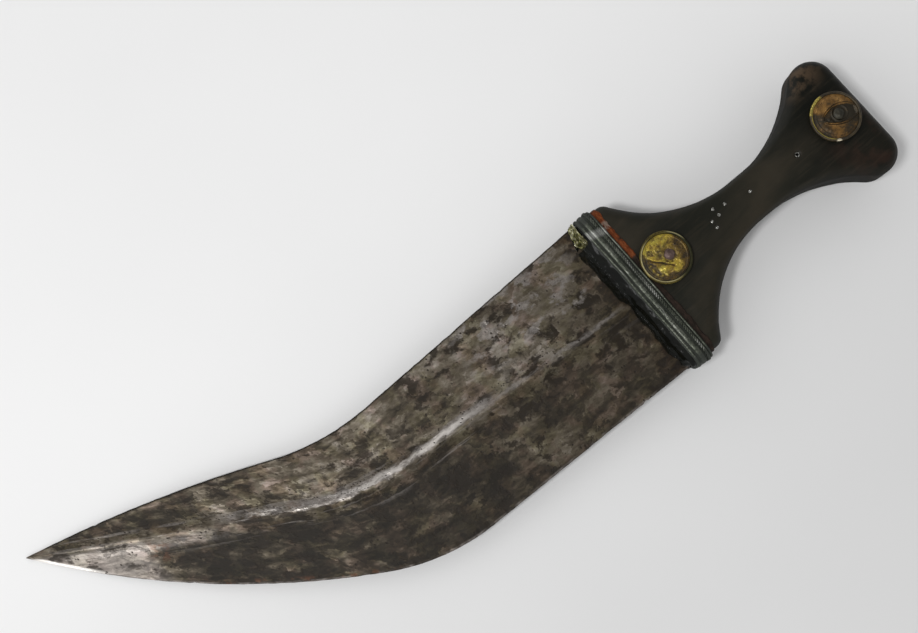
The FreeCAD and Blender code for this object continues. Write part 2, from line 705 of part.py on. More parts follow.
def make_burr(label):
    """The washer that the rivet's end is hammered over, let into the back face."""
    body = new_body(label)
    sketch = new_sketch(body, label + "_circles", "XY_Plane")
    add_circle(sketch, [(0, "0"), (0, "0")], named("burr_radius"))
    add_circle(sketch, [(0, "0"), (0, "0")],
               (size("rivet_shank") + size("rivet_clearance"), "$rivet_shank + $rivet_clearance"))
    pad(body, sketch, "$burr_thick")
    return body


def rivet_hole(name, boss):
    """The round way for a rivet right through the hilt."""
    return cut_cylinder(name, ("$%s_boss_along + $%s_rivet_shift" % (boss, boss), "$%s_boss_side" % boss),
                        "$rivet_shank + $rivet_clearance", "-2 * $hilt_half_thick", "2 * $hilt_half_thick")


def burr_recess(boss):
    """The round recess for a burr in the back face."""
    return cut_cylinder(boss + "_burr_recess",
                        ("$%s_boss_along + $%s_rivet_shift" % (boss, boss), "$%s_boss_side" % boss),
                        "$burr_radius + $rivet_clearance", "-2 * $hilt_half_thick",
                        "$burr_thick + $burr_sink - $hilt_half_thick")


def make_boss(boss):
    """All the pieces of one boss, with their places in the design frame."""
    along = size(boss + "_boss_along")
    side = size(boss + "_boss_side")
    shift = boss + "_rivet_shift"
    radius = boss + "_boss_radius"
    seat = size("hilt_half_thick")
    cup = seat + size("backing_thick")
    disc = cup + size("cup_thick")
    head = disc + size("disc_rise")
    axis = along + size(shift)
    return [
        (make_backing(boss + "_boss_backing", shift), Vector(along, side, seat)),
        (make_cup(boss + "_boss_rim", radius, shift), Vector(along, side, cup)),
        (make_disc(boss + "_boss_disc", radius, shift), Vector(along, side, disc)),
        (make_rivet(boss + "_boss_rivet"), Vector(axis, side, head)),
        (make_burr(boss + "_rivet_burr"), Vector(axis, side, size("burr_sink") - seat)),
    ]


# ---------------------------------------------------------------- small nails

def make_pins():
    """Small nails in the grip: each a flat cone head on a straight shank."""
    nails = []
    for number, (along, side) in enumerate(PINS, start=1):
        seat = grip_height(along) - 0.15
        shank = doc.addObject("Part::Cylinder", "pin_shank_%d" % number)
        bind(shank, "Radius", "$pin_shank")
        bind(shank, "Height", "$pin_depth + $pin_head_rise / 2")
        shank.Placement = Placement(Vector(along, side, seat - size("pin_depth")), Rotation())
        head = doc.addObject("Part::Cone", "pin_head_%d" % number)
        bind(head, "Radius1", "$pin_head")
        bind(head, "Radius2", "$pin_shank")
        bind(head, "Height", "$pin_head_rise")
        head.Placement = Placement(Vector(along, side, seat), Rotation())
        nail = doc.addObject("Part::Fuse", "pin_%d" % number)
        nail.Base = shank
        nail.Tool = head
        nails.append(nail)
    group = doc.addObject("Part::Compound", "grip_pins")
    group.Label = "grip_pins"
    group.Links = nails
    return group


def pin_tools():
    """Blind holes and small seats for the nails and the eyelet."""
    tools = []
    for number, (along, side) in enumerate(PINS, start=1):
        seat = grip_height(along) - 0.15
        hole = cut_cylinder("pin_hole_%d" % number, (str(along), str(side)), "$pin_shank + 0.05",
                            "%s - $pin_depth - 0.1" % seat, "12")
        spot = cut_cylinder("pin_seat_%d" % number, (str(along), str(side)), "$pin_head + 0.1",
                            str(seat), "12")
        tools += [hole, spot]
    along, side = EYELET
    floor = "%s - $eyelet_depth" % grip_height(along)
    tools.append(cut_cylinder("eyelet_hole", (str(along), str(side)), "$eyelet_radius + 0.05", floor, "12"))
    return tools


def make_eyelet():
    """A tiny tube set in the grip, its mouth just proud of the horn."""
    body = new_body("grip_eyelet")
    sketch = new_sketch(body, "eyelet_circles", "XY_Plane")
    add_circle(sketch, [(0, "0"), (0, "0")], named("eyelet_radius"))
    add_circle(sketch, [(0, "0"), (0, "0")], named("eyelet_bore"))
    pad(body, sketch, "$eyelet_depth + $eyelet_rise")
    along, side = EYELET
    return body, Vector(along, side, grip_height(along) - size("eyelet_depth"))


# ---------------------------------------------------------------- assembly

def lying_placement(pieces):
    """Lay the dagger down: pitched onto its point and collar, with the origin under its middle."""
    low = size("hilt_half_thick") + size("liner_thick") + size("band_thick")
    low += max(size(label + "_rise") for label, *_ in WIRES)
    foot = size("collar_wire_2_start") + size("collar_wire_2_width") / 2
    crest_end = size("crest_half_height") + size("crest_tip_along") * math.tan(math.radians(size("crest_lean")))
    slopes = [(low - size("edge_half")) / (foot - size("tip_along")),
              (low - crest_end) / (foot - size("crest_tip_along"))]
    pitch = Rotation(Vector(0, 1, 0), -math.degrees(math.atan(min(slopes))))
    box = FreeCAD.BoundBox()
    for piece, place in pieces:
        shape = piece.Shape.copy()
        shape.Placement = Placement(Vector(), pitch).multiply(Placement(place, Rotation()))
        box.add(shape.optimalBoundingBox(False, False))
    return Placement(Vector(-box.Center.x, -box.Center.y, -box.ZMin), pitch)


def build():
    blade_form = make_blade_form()
    hilt_form = make_hilt_form()
    pitch_form = make_pitch_form()
    holes = [rivet_hole("lower_rivet_hole", "lower"), rivet_hole("upper_rivet_hole", "upper")]
    holes += [burr_recess("lower"), burr_recess("upper")]
    tang_hole = rivet_hole("tang_rivet_hole", "lower")
    fill_hole = rivet_hole("fill_rivet_hole", "lower")
    still = Vector()
    pieces = [
        (cut_with("blade", blade_form, [tang_hole]), still),
        (cut_with("hilt", hilt_form, holes + pin_tools()), still),
        (cut_with("pitch_setting", pitch_form, [blade_form, fill_hole, make_foil_space()]), still),
        (make_ring("collar_liner", "$hilt_base", "$liner_end - $hilt_base", [], ["liner_thick"]), still),
        (make_ring("collar_band", "$collar_front", "$band_end - $collar_front",
                   ["liner_thick"], ["liner_thick", "band_thick"]), still),
    ]
    pieces += [(make_wire(label), still) for label, *_ in WIRES]
    pieces.append((make_foil(), still))
    pieces += make_boss("lower") + make_boss("upper")
    pieces.append((make_pins(), still))
    pieces.append(make_eyelet())
    doc.recompute()
    lying = lying_placement(pieces)
    for piece, place in pieces:
        piece.Placement = lying.multiply(Placement(place, Rotation()))
    doc.recompute()
    print("lying placement", lying)
    return [piece for piece, place in pieces]


def check_and_write(pieces):
    broken = [item.Label for item in doc.Objects if {"Invalid", "Error"} & set(item.State)]
    if broken:
        raise RuntimeError("failed objects: %s" % broken)
    for piece in pieces:
        if piece.Shape.isNull() or not piece.Shape.isValid() or not piece.Shape.Solids:
            raise RuntimeError("bad shape: " + piece.Label)
    os.makedirs("parts", exist_ok=True)
    for piece in pieces:
        piece.Shape.exportStep("parts/%s.step" % piece.Label)
        print("%-20s solids %d volume %.2f" % (piece.Label, len(piece.Shape.Solids), piece.Shape.Volume))


check_and_write(build())
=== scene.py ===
import json
import math

import bmesh
import bpy
import numpy as np
from mathutils import Matrix, Vector


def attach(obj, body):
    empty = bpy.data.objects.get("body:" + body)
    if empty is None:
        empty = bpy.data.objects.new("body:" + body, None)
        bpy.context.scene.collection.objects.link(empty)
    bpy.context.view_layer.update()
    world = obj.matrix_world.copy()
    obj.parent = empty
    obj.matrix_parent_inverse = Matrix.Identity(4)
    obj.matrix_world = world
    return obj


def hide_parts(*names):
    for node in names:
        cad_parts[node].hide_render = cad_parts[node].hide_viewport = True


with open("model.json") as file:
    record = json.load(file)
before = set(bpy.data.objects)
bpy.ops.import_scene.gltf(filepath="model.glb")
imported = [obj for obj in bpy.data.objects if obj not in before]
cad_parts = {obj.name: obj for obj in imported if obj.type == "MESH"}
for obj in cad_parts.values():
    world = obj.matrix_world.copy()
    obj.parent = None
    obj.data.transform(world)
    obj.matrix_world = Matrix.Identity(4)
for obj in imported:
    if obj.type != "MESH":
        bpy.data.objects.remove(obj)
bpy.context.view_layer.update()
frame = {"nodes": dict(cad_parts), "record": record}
mounts = {mount["name"]: mount for mount in frame["record"]["mounts"]}

# The dagger's own frame, in millimetres: +X along the hilt to the pommel, +Y to the
# side that the blade bends to, +Z out of the front face, blade mid-plane at z = 0,
# collar mouth near x = 0. The grip mount is 57 mm along the hilt's axis.
GRIP_ALONG = 57.0
AXIS = np.array(mounts["grip"]["axis"])
FACE = -np.array(mounts["hilt_back"]["axis"])
SIDE = np.cross(FACE, AXIS)
TURN = np.array([AXIS, SIDE, FACE])
ORIGIN = np.array(mounts["grip"]["pos_m"]) * 1000 - GRIP_ALONG * AXIS


def to_own(points):
    """Row-frame metres to the dagger's own millimetres."""
    return (np.asarray(points, dtype=float) * 1000 - ORIGIN) @ TURN.T


def to_row(points):
    """The dagger's own millimetres to row-frame metres."""
    return (np.asarray(points, dtype=float) @ TURN + ORIGIN) / 1000


def read_vectors(items, name):
    """A vector property of every item, as rows of three."""
    flat = np.empty(len(items) * 3)
    items.foreach_get(name, flat)
    return flat.reshape(-1, 3)


def node_points(name):
    """A CAD node's vertices in the dagger's own frame."""
    return to_own(read_vectors(frame["nodes"][name].data.vertices, "co"))


def node_span(name):
    """Lowest and highest corner of a CAD node in the dagger's own frame."""
    points = node_points(name)
    return points.min(axis=0), points.max(axis=0)


# ---------------------------------------------------------------- noise and meshes

# Odd constants that scramble a cell's whole numbers into an even spread of values.
CELL_FACTORS = np.array([374761393, 668265263, 2147483647])
SEED_FACTOR = 97531
MIX_FACTOR = 1274126177
OCTAVE_SEED = 31


def lattice(cells, seed):
    """A repeatable value from -1 to 1 for each whole-number cell."""
    mixed = (cells.astype(np.int64) * CELL_FACTORS).sum(axis=-1) + seed * SEED_FACTOR
    mixed = (mixed ^ (mixed >> 13)) * MIX_FACTOR
    mixed = mixed ^ (mixed >> 16)
    return (mixed & 0xFFFF) / 32767.5 - 1.0


def noise(points, scale, seed=0, octaves=1):
    """Smooth value noise; scale is the size of a feature in millimetres."""
    points = np.asarray(points, dtype=float)
    total = np.zeros(points.shape[:-1])
    strength = 1.0
    for octave in range(octaves):
        spot = points / scale * 2 ** octave
        base = np.floor(spot)
        part = spot - base
        part = part * part * (3 - 2 * part)
        value = 0
        for corner in np.ndindex(2, 2, 2):
            weight = np.prod(np.where(corner, part, 1 - part), axis=-1)
            value = value + weight * lattice(base + np.array(corner), seed + OCTAVE_SEED * octave)
        total += strength * value
        strength *= 0.5
    return total


def smooth_step(value, low, high):
    """Zero below low, one above high, with a smooth change between."""
    share = np.clip((value - low) / (high - low), 0, 1)
    return share * share * (3 - 2 * share)


def level_places(x, y):
    """Points at height zero from grids of x and y."""
    return np.stack([x, y, np.zeros(np.shape(x))], axis=-1)


def line_noise(station, lane, scale, seed, octaves=1):
    """Noise along a line; lane keeps one line's noise apart from another's."""
    return float(noise(np.array([[station, lane, 0.0]]), scale, seed, octaves)[0])


def new_piece(name, points, faces, slot, replaced, smooth=True):
    """A mesh piece from points in the dagger's own frame, none below the floor, on the one body."""
    points = np.asarray(points, dtype=float).reshape(-1, 3)
    placed = to_row(points)
    placed[:, 2] = np.maximum(placed[:, 2], 0.0)
    mesh = bpy.data.meshes.new(name)
    mesh.from_pydata(placed.tolist(), [], [list(map(int, face)) for face in faces])
    own = mesh.attributes.new("own_mm", "FLOAT_VECTOR", "POINT")
    own.data.foreach_set("vector", points.ravel())
    mesh.polygons.foreach_set("use_smooth", [smooth] * len(mesh.polygons))
    piece = bpy.data.objects.new(name, mesh)
    bpy.context.collection.objects.link(piece)
    outward(mesh)
    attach(piece, "root")
    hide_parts(*replaced)
    return piece


def outward(mesh):
    """Face normals out of the closed surface."""
    work = bmesh.new()
    work.from_mesh(mesh)
    bmesh.ops.recalc_face_normals(work, faces=work.faces)
    work.to_mesh(mesh)
    work.free()
    mesh.update()


def add_value(piece, name, values):
    """A number for each of a piece's points, for its material to read."""
    layer = piece.data.attributes.new(name, "FLOAT", "POINT")
    layer.data.foreach_set("value", np.asarray(values, dtype=float).ravel())


def tube_faces(rows, columns, close_rows=False):
    """Quads over a grid of closed rings, one ring per row, joined in a loop or capped."""
    faces = []
    last = rows if close_rows else rows - 1
    for row in range(last):
        below = row * columns
        above = (row + 1) % rows * columns
        for column in range(columns):
            beside = (column + 1) % columns
            faces.append((below + column, below + beside, above + beside, above + column))
    if not close_rows:
        faces.append(tuple(range(columns))[::-1])
        faces.append(tuple((rows - 1) * columns + column for column in range(columns)))
    return faces


def join_shapes(shapes):
    """One list of points and faces from several."""
    points = []
    faces = []
    for some_points, some_faces in shapes:
        start = len(points)
        points += [tuple(point) for point in np.asarray(some_points).reshape(-1, 3)]
        faces += [tuple(index + start for index in face) for face in some_faces]
    return points, faces


# ---------------------------------------------------------------- shader shorthand

class Nodes:
    """Shorthand for building a node tree."""

    def __init__(self, tree):
        self.tree = tree

    def node(self, kind, inputs=None, **settings):
        """A new node, whose inputs are given as values or as sockets to link."""
        made = self.tree.nodes.new(kind)
        for name, value in settings.items():
            setattr(made, name, value)
        for name, value in (inputs or {}).items():
            self.put(made.inputs[name], value)
        return made

    def put(self, socket, value):
        if isinstance(value, bpy.types.NodeSocket):
            self.tree.links.new(value, socket)
        elif value is not None:
            socket.default_value = value

    def math(self, operation, first, second=None):
        return self.node("ShaderNodeMath", {0: first, 1: second}, operation=operation).outputs[0]

    def times(self, first, second):
        return self.math("MULTIPLY", first, second)

    def plus(self, first, second):
        return self.math("ADD", first, second)

    def minus(self, first, second):
        return self.math("SUBTRACT", first, second)

    def most(self, first, second):
        return self.math("MAXIMUM", first, second)

    def vector(self, operation, first, second=None):
        return self.node("ShaderNodeVectorMath", {0: first, 1: second}, operation=operation).outputs[0]

    def scaled(self, first, scale):
        return self.node("ShaderNodeVectorMath", {0: first, "Scale": scale}, operation="SCALE").outputs[0]

    def fade(self, value, low, high, start=0.0, end=1.0, shape="SMOOTHSTEP"):
        """A change from start to end as the value goes from low to high."""
        span = {"Value": value, "From Min": low, "From Max": high, "To Min": start, "To Max": end}
        return self.node("ShaderNodeMapRange", span, interpolation_type=shape).outputs["Result"]

    def fall(self, value, low, high):
        """One below low, zero above high."""
        return self.fade(value, low, high, 1.0, 0.0)

    def band(self, value, low, high, soft):
        """One between low and high, zero outside."""
        rise = self.fade(value, low - soft, low + soft)
        fall = self.fall(value, high - soft, high + soft)
        return self.times(rise, fall)


class Shader(Nodes):
    """Builds one node material. Lengths in it are millimetres."""

    def __init__(self, name, place="own_mm"):
        self.material = bpy.data.materials.new(name)
        self.material.use_nodes = True
        super().__init__(self.material.node_tree)
        self.surface = self.tree.nodes["Principled BSDF"]
        if place:
            self.place = self.node("ShaderNodeAttribute", attribute_name=place).outputs["Vector"]
        else:
            metres = self.node("ShaderNodeTexCoord").outputs["Object"]
            self.place = self.scaled(metres, 1000.0)
        self.split = self.node("ShaderNodeSeparateXYZ", {0: self.place})

    def axis(self, name):
        return self.split.outputs[name]

    def value(self, name):
        """A float attribute stored on the piece."""
        return self.node("ShaderNodeAttribute", attribute_name=name).outputs["Fac"]

    def mapped(self, place, stretch, shift, turn=0.0):
        """A place stretched, turned about Z and shifted."""
        inputs = {"Vector": place, "Scale": stretch, "Location": shift, "Rotation": (0, 0, turn)}
        return self.node("ShaderNodeMapping", inputs).outputs[0]

    def noise(self, size, detail=4.0, rough=0.55, stretch=(1, 1, 1), shift=(0, 0, 0), twist=0.0, turn=0.0):
        """Noise from 0 to 1 whose features are about size millimetres wide."""
        inputs = {"Vector": self.mapped(self.place, stretch, shift, turn), "Scale": 1.0 / size,
                  "Detail": detail, "Roughness": rough, "Distortion": twist}
        return self.node("ShaderNodeTexNoise", inputs).outputs["Fac"]

    def cells(self, size, shift=(0, 0, 0)):
        """Distance to the nearest of scattered points, about size millimetres apart."""
        inputs = {"Vector": self.mapped(self.place, (1, 1, 1), shift), "Scale": 1.0 / size}
        return self.node("ShaderNodeTexVoronoi", inputs).outputs["Distance"]

    def patches(self, size, stretch, shift, turn, ragged):
        """A different value from 0 to 1 for each of many irregular flat patches."""
        inputs = {"Vector": self.place, "Scale": 2.2 / size, "Detail": 4.0}
        wander = self.node("ShaderNodeTexNoise", inputs).outputs["Color"]
        push = self.scaled(self.vector("SUBTRACT", wander, (0.5, 0.5, 0.5)), size * ragged * 2)
        moved = self.mapped(self.vector("ADD", self.place, push), stretch, shift, turn)
        made = self.node("ShaderNodeTexVoronoi", {"Vector": moved, "Scale": 1.0 / size})
        return self.node("ShaderNodeSeparateColor", {0: made.outputs["Color"]}).outputs[0]

    def ramp(self, value, stops):
        """Colour stops: a list of (position, (r, g, b))."""
        made = self.node("ShaderNodeValToRGB", {0: value})
        ramp = made.color_ramp
        while len(ramp.elements) < len(stops):
            ramp.elements.new(0.5)
        for element, (spot, colour) in zip(ramp.elements, stops):
            element.position = spot
            element.color = (*colour, 1.0)
        return made.outputs["Color"]

    def away(self, centre, stretch=(1, 1, 1)):
        """Distance from a point, each direction counted by its stretch."""
        offset = self.vector("MULTIPLY", self.vector("SUBTRACT", self.place, centre), stretch)
        return self.node("ShaderNodeVectorMath", {0: offset}, operation="LENGTH").outputs["Value"]

    def spot(self, centre, radius, soft, stretch=(1, 1, 1)):
        """One within a radius of a point, softly to zero outside."""
        return self.fall(self.away(centre, stretch), radius - soft, radius + soft)

    def mix(self, factor, first, second, mode="MIX"):
        made = self.node("ShaderNodeMix", {0: factor}, data_type="RGBA", blend_type=mode)
        colours = [socket for socket in made.inputs if socket.type == "RGBA"]
        for socket, colour in zip(colours, (first, second)):
            self.put(socket, (*colour, 1.0) if isinstance(colour, tuple) else colour)
        return [socket for socket in made.outputs if socket.type == "RGBA"][0]

    def lay(self, mask, share, under, over):
        """A colour over another where the mask is, as thick as the share."""
        return self.mix(self.times(mask, share), under, over)

    def tint(self, colour, by):
        return self.mix(1.0, colour, by, "MULTIPLY")

    def stain(self, mask, share, colour, by):
        """A colour tinted where the mask is, as strongly as the share."""
        return self.lay(mask, share, colour, self.tint(colour, by))

    def blend(self, factor, first, second):
        """A number between two others."""
        return self.node("ShaderNodeMix", {0: factor, 2: first, 3: second}, data_type="FLOAT").outputs[0]

    def bump(self, height, depth, under=None):
        """Relief whose full height is depth millimetres."""
        inputs = {"Height": height, "Strength": 1.0, "Distance": depth / 1000, "Normal": under}
        return self.node("ShaderNodeBump", inputs).outputs["Normal"]

    def finish(self, colour, roughness, metallic=0.0, normal=None, **extra):
        sockets = self.surface.inputs
        self.put(sockets["Base Color"], colour)
        self.put(sockets["Roughness"], roughness)
        self.put(sockets["Metallic"], metallic)
        self.put(sockets["Normal"], normal)
        for name, value in extra.items():
            self.put(sockets[name.replace("_", " ")], value)
        return self.material


def dress(piece, material):
    """Gives a piece, or a CAD node, its material."""
    if piece.material_slots:
        for holder in piece.material_slots:
            holder.material = material
    else:
        piece.data.materials.append(material)


# ---------------------------------------------------------------- blade

def blade_sections():
    """The CAD blade cut at many places along its length, from the tang's end to the point."""
    tang_cuts = 12
    blade_cuts = 330
    point_gap = 0.38
    mesh = frame["nodes"]["blade"].data
    points = node_points("blade")
    pairs = np.empty(len(mesh.edges) * 2, dtype=np.int64)
    mesh.edges.foreach_get("vertices", pairs)
    first, second = points[pairs[0::2]], points[pairs[1::2]]
    tang_part = np.linspace(points[:, 0].max() - 0.02, 0.05, tang_cuts)
    blade_part = np.linspace(-0.02, points[:, 0].min() + point_gap, blade_cuts)
    sections = []
    for along in np.concatenate([tang_part, blade_part]):
        crossing = (first[:, 0] - along) * (second[:, 0] - along) < 0
        share = (along - first[crossing, 0]) / (second[crossing, 0] - first[crossing, 0])
        cut = first[crossing] + share[:, None] * (second[crossing] - first[crossing])
        sections.append((along, cut[:, 1:]))
    return sections


def spread_across(low, crest, high, half_count=34):
    """Places from edge to edge that crowd at both edges and at the crest."""
    share = (1 - np.cos(np.linspace(0, math.pi, half_count))) / 2
    return np.concatenate([low + (crest - low) * share, crest + (high - crest) * share[1:]])


def tang_outline(low, high, top):
    """A plain flat section: its edges, middle, places across, and its top and underside."""
    crest = (low + high) / 2
    side = spread_across(low, crest, high)
    height = np.full(side.shape, top[:, 1].max())
    return low, high, crest, side, height, -height


def forged_outline(along, low, high, top):
    """A blade section with a wandering crest, ragged and nicked edges and hammer waves."""
    crest_wander = 0.3
    ragged_depth = 0.132
    nick_depth = 0.45
    wave_depth, ripple_depth, under_depth = 0.1, 0.03, 0.08
    wave_size = 11.0
    wide = high - low
    crest = top[top[:, 1] > top[:, 1].max() - 0.02, 0].mean()
    crest += crest_wander * line_noise(along, 0.0, 17.0, 4) * min(1, wide / 30)
    ragged = np.abs(noise(np.array([[along, 0, 0], [along, 90, 0]]), 5.0, 7, 3))
    nick = smooth_step(noise(np.array([[along, 7, 0], [along, 97, 0]]), 2.6, 9), 0.72, 0.98)
    slim = min(1.0, wide / 12) * smooth_step(-along, 0, 6)
    bite = slim * (ragged_depth * ragged + nick_depth * nick)
    low = low + bite[0]
    high = high - bite[1]
    side = spread_across(low, crest, high)
    height = softened(side, top, low, high)
    places = level_places(np.full(side.shape, along), side)
    calm = smooth_step(np.minimum(side - low, high - side), 0.5, 5.0)
    bottom = -height - calm * under_depth * noise(places + 50, wave_size, 3, 2)
    wave = wave_depth * noise(places, wave_size, 2, 2) + ripple_depth * noise(places, 3.0, 5)
    return low, high, crest, side, height + calm * wave, bottom


def softened(side, top, low, high):
    """Half-thickness across the blade: the CAD's, averaged over 1.4 mm, with keen edges."""
    edge_half = 0.1
    edge_slope = 0.42
    shifts = (-0.7, -0.35, 0.0, 0.35, 0.7)
    height = sum(np.interp(side + shift, top[:, 0], top[:, 1]) for shift in shifts) / len(shifts)
    return np.minimum(height, edge_half + edge_slope * np.minimum(side - low, high - side))


def make_blade():
    """Forged blade. It also stores how far each point is along the rib, from it, and from the edge."""
    rows = []
    flow_rows = []
    edge_rows = []
    travelled = 0.0
    before = None
    for along, cut in blade_sections():
        top = cut[cut[:, 1] > 0]
        top = top[np.argsort(top[:, 0])]
        low = cut[:, 0].min()
        high = cut[:, 0].max()
        outline = tang_outline(low, high, top) if along > 0 else forged_outline(along, low, high, top)
        low, high, crest, side, height, bottom = outline
        if before is not None and along < 0:
            travelled -= math.hypot(along - before[0], crest - before[1])
        before = (min(along, 0.0), crest)
        ring_side = np.concatenate([side, side[::-1]])
        ring_height = np.concatenate([height, bottom[::-1]])
        whole = np.ones(ring_side.shape)
        rows.append(np.stack([along * whole, ring_side, ring_height], axis=1))
        flow_rows.append(np.stack([travelled * whole, ring_side - crest, ring_height], axis=1))
        edge_rows.append(np.minimum(ring_side - low, high - ring_side))
    rows = np.array(rows)
    blade = new_piece("blade_forged", rows, tube_faces(*rows.shape[:2]), "steel_blade", ["blade"])
    flow = blade.data.attributes.new("flow_mm", "FLOAT_VECTOR", "POINT")
    flow.data.foreach_set("vector", np.array(flow_rows).ravel())
    add_value(blade, "edge_gap", np.array(edge_rows))
    dress(blade, steel())


def steel():
    """Old steel: grey-brown patina in patches, blotches and pits, rubbed on the rib; a painted highlight lies
    along the rib and the point's lower edge, painted shade on the lower wing and along the upper edge.
    """
    s = Shader("old_steel", place="flow_mm")
    along = s.axis("X")
    across = s.axis("Y")
    edge = s.value("edge_gap")
    stroke = s.noise(6.5, 3.5, 0.52, (0.5, 1.3, 1), (40, 0, 0), twist=0.8, turn=0.3)
    fine = s.noise(1.3, 4.0, 0.7, (0.8, 1.2, 1), (11, 3, 0))
    tone = s.plus(steel_tone(s, stroke, fine), steel_regions(s, along, across, edge))
    colour = steel_patina(s, tone, stroke, along, across)
    blot = steel_blotches(s)
    colour = s.lay(blot, 0.88, colour, (0.0115, 0.008, 0.0046))

    # Painted highlight: the bright band along the rib's upper flank stands in for a reflection on the rubbed
    # steel.
    wander = s.minus(s.noise(3.4, 4.0, 0.6, (0.6, 1.2, 1), (15, 4, 0)), 0.5)
    crest = s.plus(across, s.times(wander, 4.2))
    smooth = s.times(s.band(crest, 0.9, 2.9, 0.7), s.band(along, -116, -76, 9))
    bright = rubbed_and_highlit_steel(s, along, across, crest, edge, smooth)
    colour = s.mix(bright, colour, steel_shine(s, fine, along, crest, smooth))
    # Painted highlight: a white strip on the lower edge by the point, the reflection on its polished bevel.
    point = s.times(s.fall(along, -237, -225), s.fall(across, -1.5, -0.4))
    point = s.times(point, s.fall(edge, 0.9, 2.2))
    colour = s.mix(point, colour, (0.74, 0.74, 0.75))

    pits = steel_pits(s, along, across, stroke)
    colour = s.lay(pits, 0.85, colour, (0.012, 0.0085, 0.006))
    # Painted shade: a thin dark line along the upper edge.
    outline = s.times(s.fall(edge, 0.3, 0.75), s.fade(across, 2.0, 4.0))
    colour = s.lay(outline, 0.8, colour, (0.01, 0.0085, 0.007))
    colour = s.tint(colour, (0.985, 0.945, 0.885))
    rust = steel_rust(s, along, across, edge)
    colour = s.mix(rust, colour, (0.12, 0.045, 0.018))

    rough = s.blend(bright, s.fade(tone, 0.36, 0.62, 0.56, 0.4), 0.32)
    metal = s.blend(bright, s.fade(tone, 0.36, 0.62, 0.3, 0.6), 0.9)
    metal = s.times(metal, s.blend(rust, 1.0, 0.1))
    relief = s.bump(stroke, 0.25, s.bump(fine, 0.05))
    relief = s.bump(s.most(pits, blot), -0.06, relief)
    return s.finish(colour, rough, metal, relief, Specular_IOR_Level=0.3)


def steel_tone(s, stroke, fine):
    """The patina's lightness: patches, clouds, strokes and grain added up, then made stronger."""
    middle, strength, raised = 0.49, 1.25, 0.495
    cloud = s.noise(22.0, 3.0, 0.55, (0.8, 1.2, 1), (9, 2, 0), twist=0.4)
    small = s.noise(3.2, 3.0, 0.55, (0.7, 1.2, 1), (33, 8, 0), twist=1.2, turn=0.6)
    tone = s.times(s.patches(3.6, (0.6, 1.1, 1), (3, 7, 0), 0.5, 0.6), 0.105)
    for layer, share in ((cloud, 0.3), (stroke, 0.32), (small, 0.21), (fine, 0.1)):
        tone = s.plus(tone, s.times(layer, share))
    return s.plus(s.times(s.minus(tone, middle), strength), raised)


def steel_patina(s, tone, stroke, along, across):
    """The tone as colour, in places olive or lilac, browner at the root, pale on the lower facet by the
    point, where a reflection is painted.
    """
    colour = s.ramp(tone, [(0.31, (0.009, 0.0066, 0.0036)), (0.42, (0.026, 0.0205, 0.013)),
                           (0.5, (0.06, 0.05, 0.036)), (0.58, (0.106, 0.093, 0.074)),
                           (0.72, (0.24, 0.222, 0.202))])
    olive = s.fade(s.noise(9.0, 3.0, 0.55, shift=(5, 60, 0)), 0.48, 0.58)
    colour = s.stain(olive, 0.5, colour, (0.9, 0.92, 0.68))
    lilac = s.fade(s.noise(8.0, 3.0, 0.55, shift=(50, 6, 0)), 0.48, 0.6)
    colour = s.stain(lilac, 0.75, colour, (1.14, 1.0, 1.04))
    root = s.times(s.fade(along, -16, -6), s.fade(stroke, 0.4, 0.55, 1.0, 0.4))
    colour = s.stain(root, 0.75, colour, (0.72, 0.6, 0.48))
    # Painted reflection: the light lilac grey on the lower facet by the point.
    calm = s.times(s.fall(along, -214, -206), s.fall(across, -1.5, 0.5))
    return s.lay(calm, 0.65, colour, (0.17, 0.158, 0.156))


def steel_blotches(s):
    """Dark blotches in groups, and one that lies across the rib."""
    blot = s.fade(s.noise(5.6, 5.0, 0.6, (0.8, 1.15, 1), (21, 5, 0), twist=0.3), 0.5, 0.61)
    blot = s.times(blot, s.fade(s.noise(26.0, 3.0, 0.5, shift=(0, 14, 0)), 0.38, 0.5))
    return s.most(blot, s.spot((-68.0, 3.4, 0), 2.2, 0.9, (0.7, 1.2, 0)))


def steel_shine(s, fine, along, crest, smooth):
    """The colour of the rib's painted highlight on rubbed steel, brightest along the crest."""
    shine = s.mix(s.fade(fine, 0.3, 0.62), (0.16, 0.148, 0.145), (0.32, 0.306, 0.306))
    further = s.times(s.band(crest, 0.6, 2.6, 0.7), s.band(along, -174, -108, 8))
    further = s.times(further, s.fade(s.noise(4.5, 4.0, 0.6, (0.4, 1.4, 1), (90, 3, 0)), 0.42, 0.56))
    return s.mix(s.most(smooth, s.times(further, 0.8)), shine, (0.7, 0.685, 0.685))


def steel_pits(s, along, across, stroke):
    """Small dark pits: in groups, and as fine specks beside the rib."""
    pits = s.fall(s.cells(2.1, (4, 4, 0)), 0.13, 0.24)
    pits = s.times(pits, s.fade(s.noise(9.0, 3.0, 0.5, shift=(0, 33, 0)), 0.5, 0.6))
    specks = s.fall(s.cells(1.2, (9, 1, 0)), 0.16, 0.32)
    specks = s.times(specks, s.band(across, 2.8, 6.0, 1.2))
    speckled = s.fall(s.cells(1.0, (2, 8, 0)), 0.18, 0.36)
    speckled = s.times(speckled, s.times(s.band(across, 0.0, 3.4, 0.8), s.band(along, -168, -118, 5)))
    specks = s.most(specks, s.times(speckled, 0.8))
    return s.most(pits, s.times(specks, s.fade(stroke, 0.38, 0.52)))


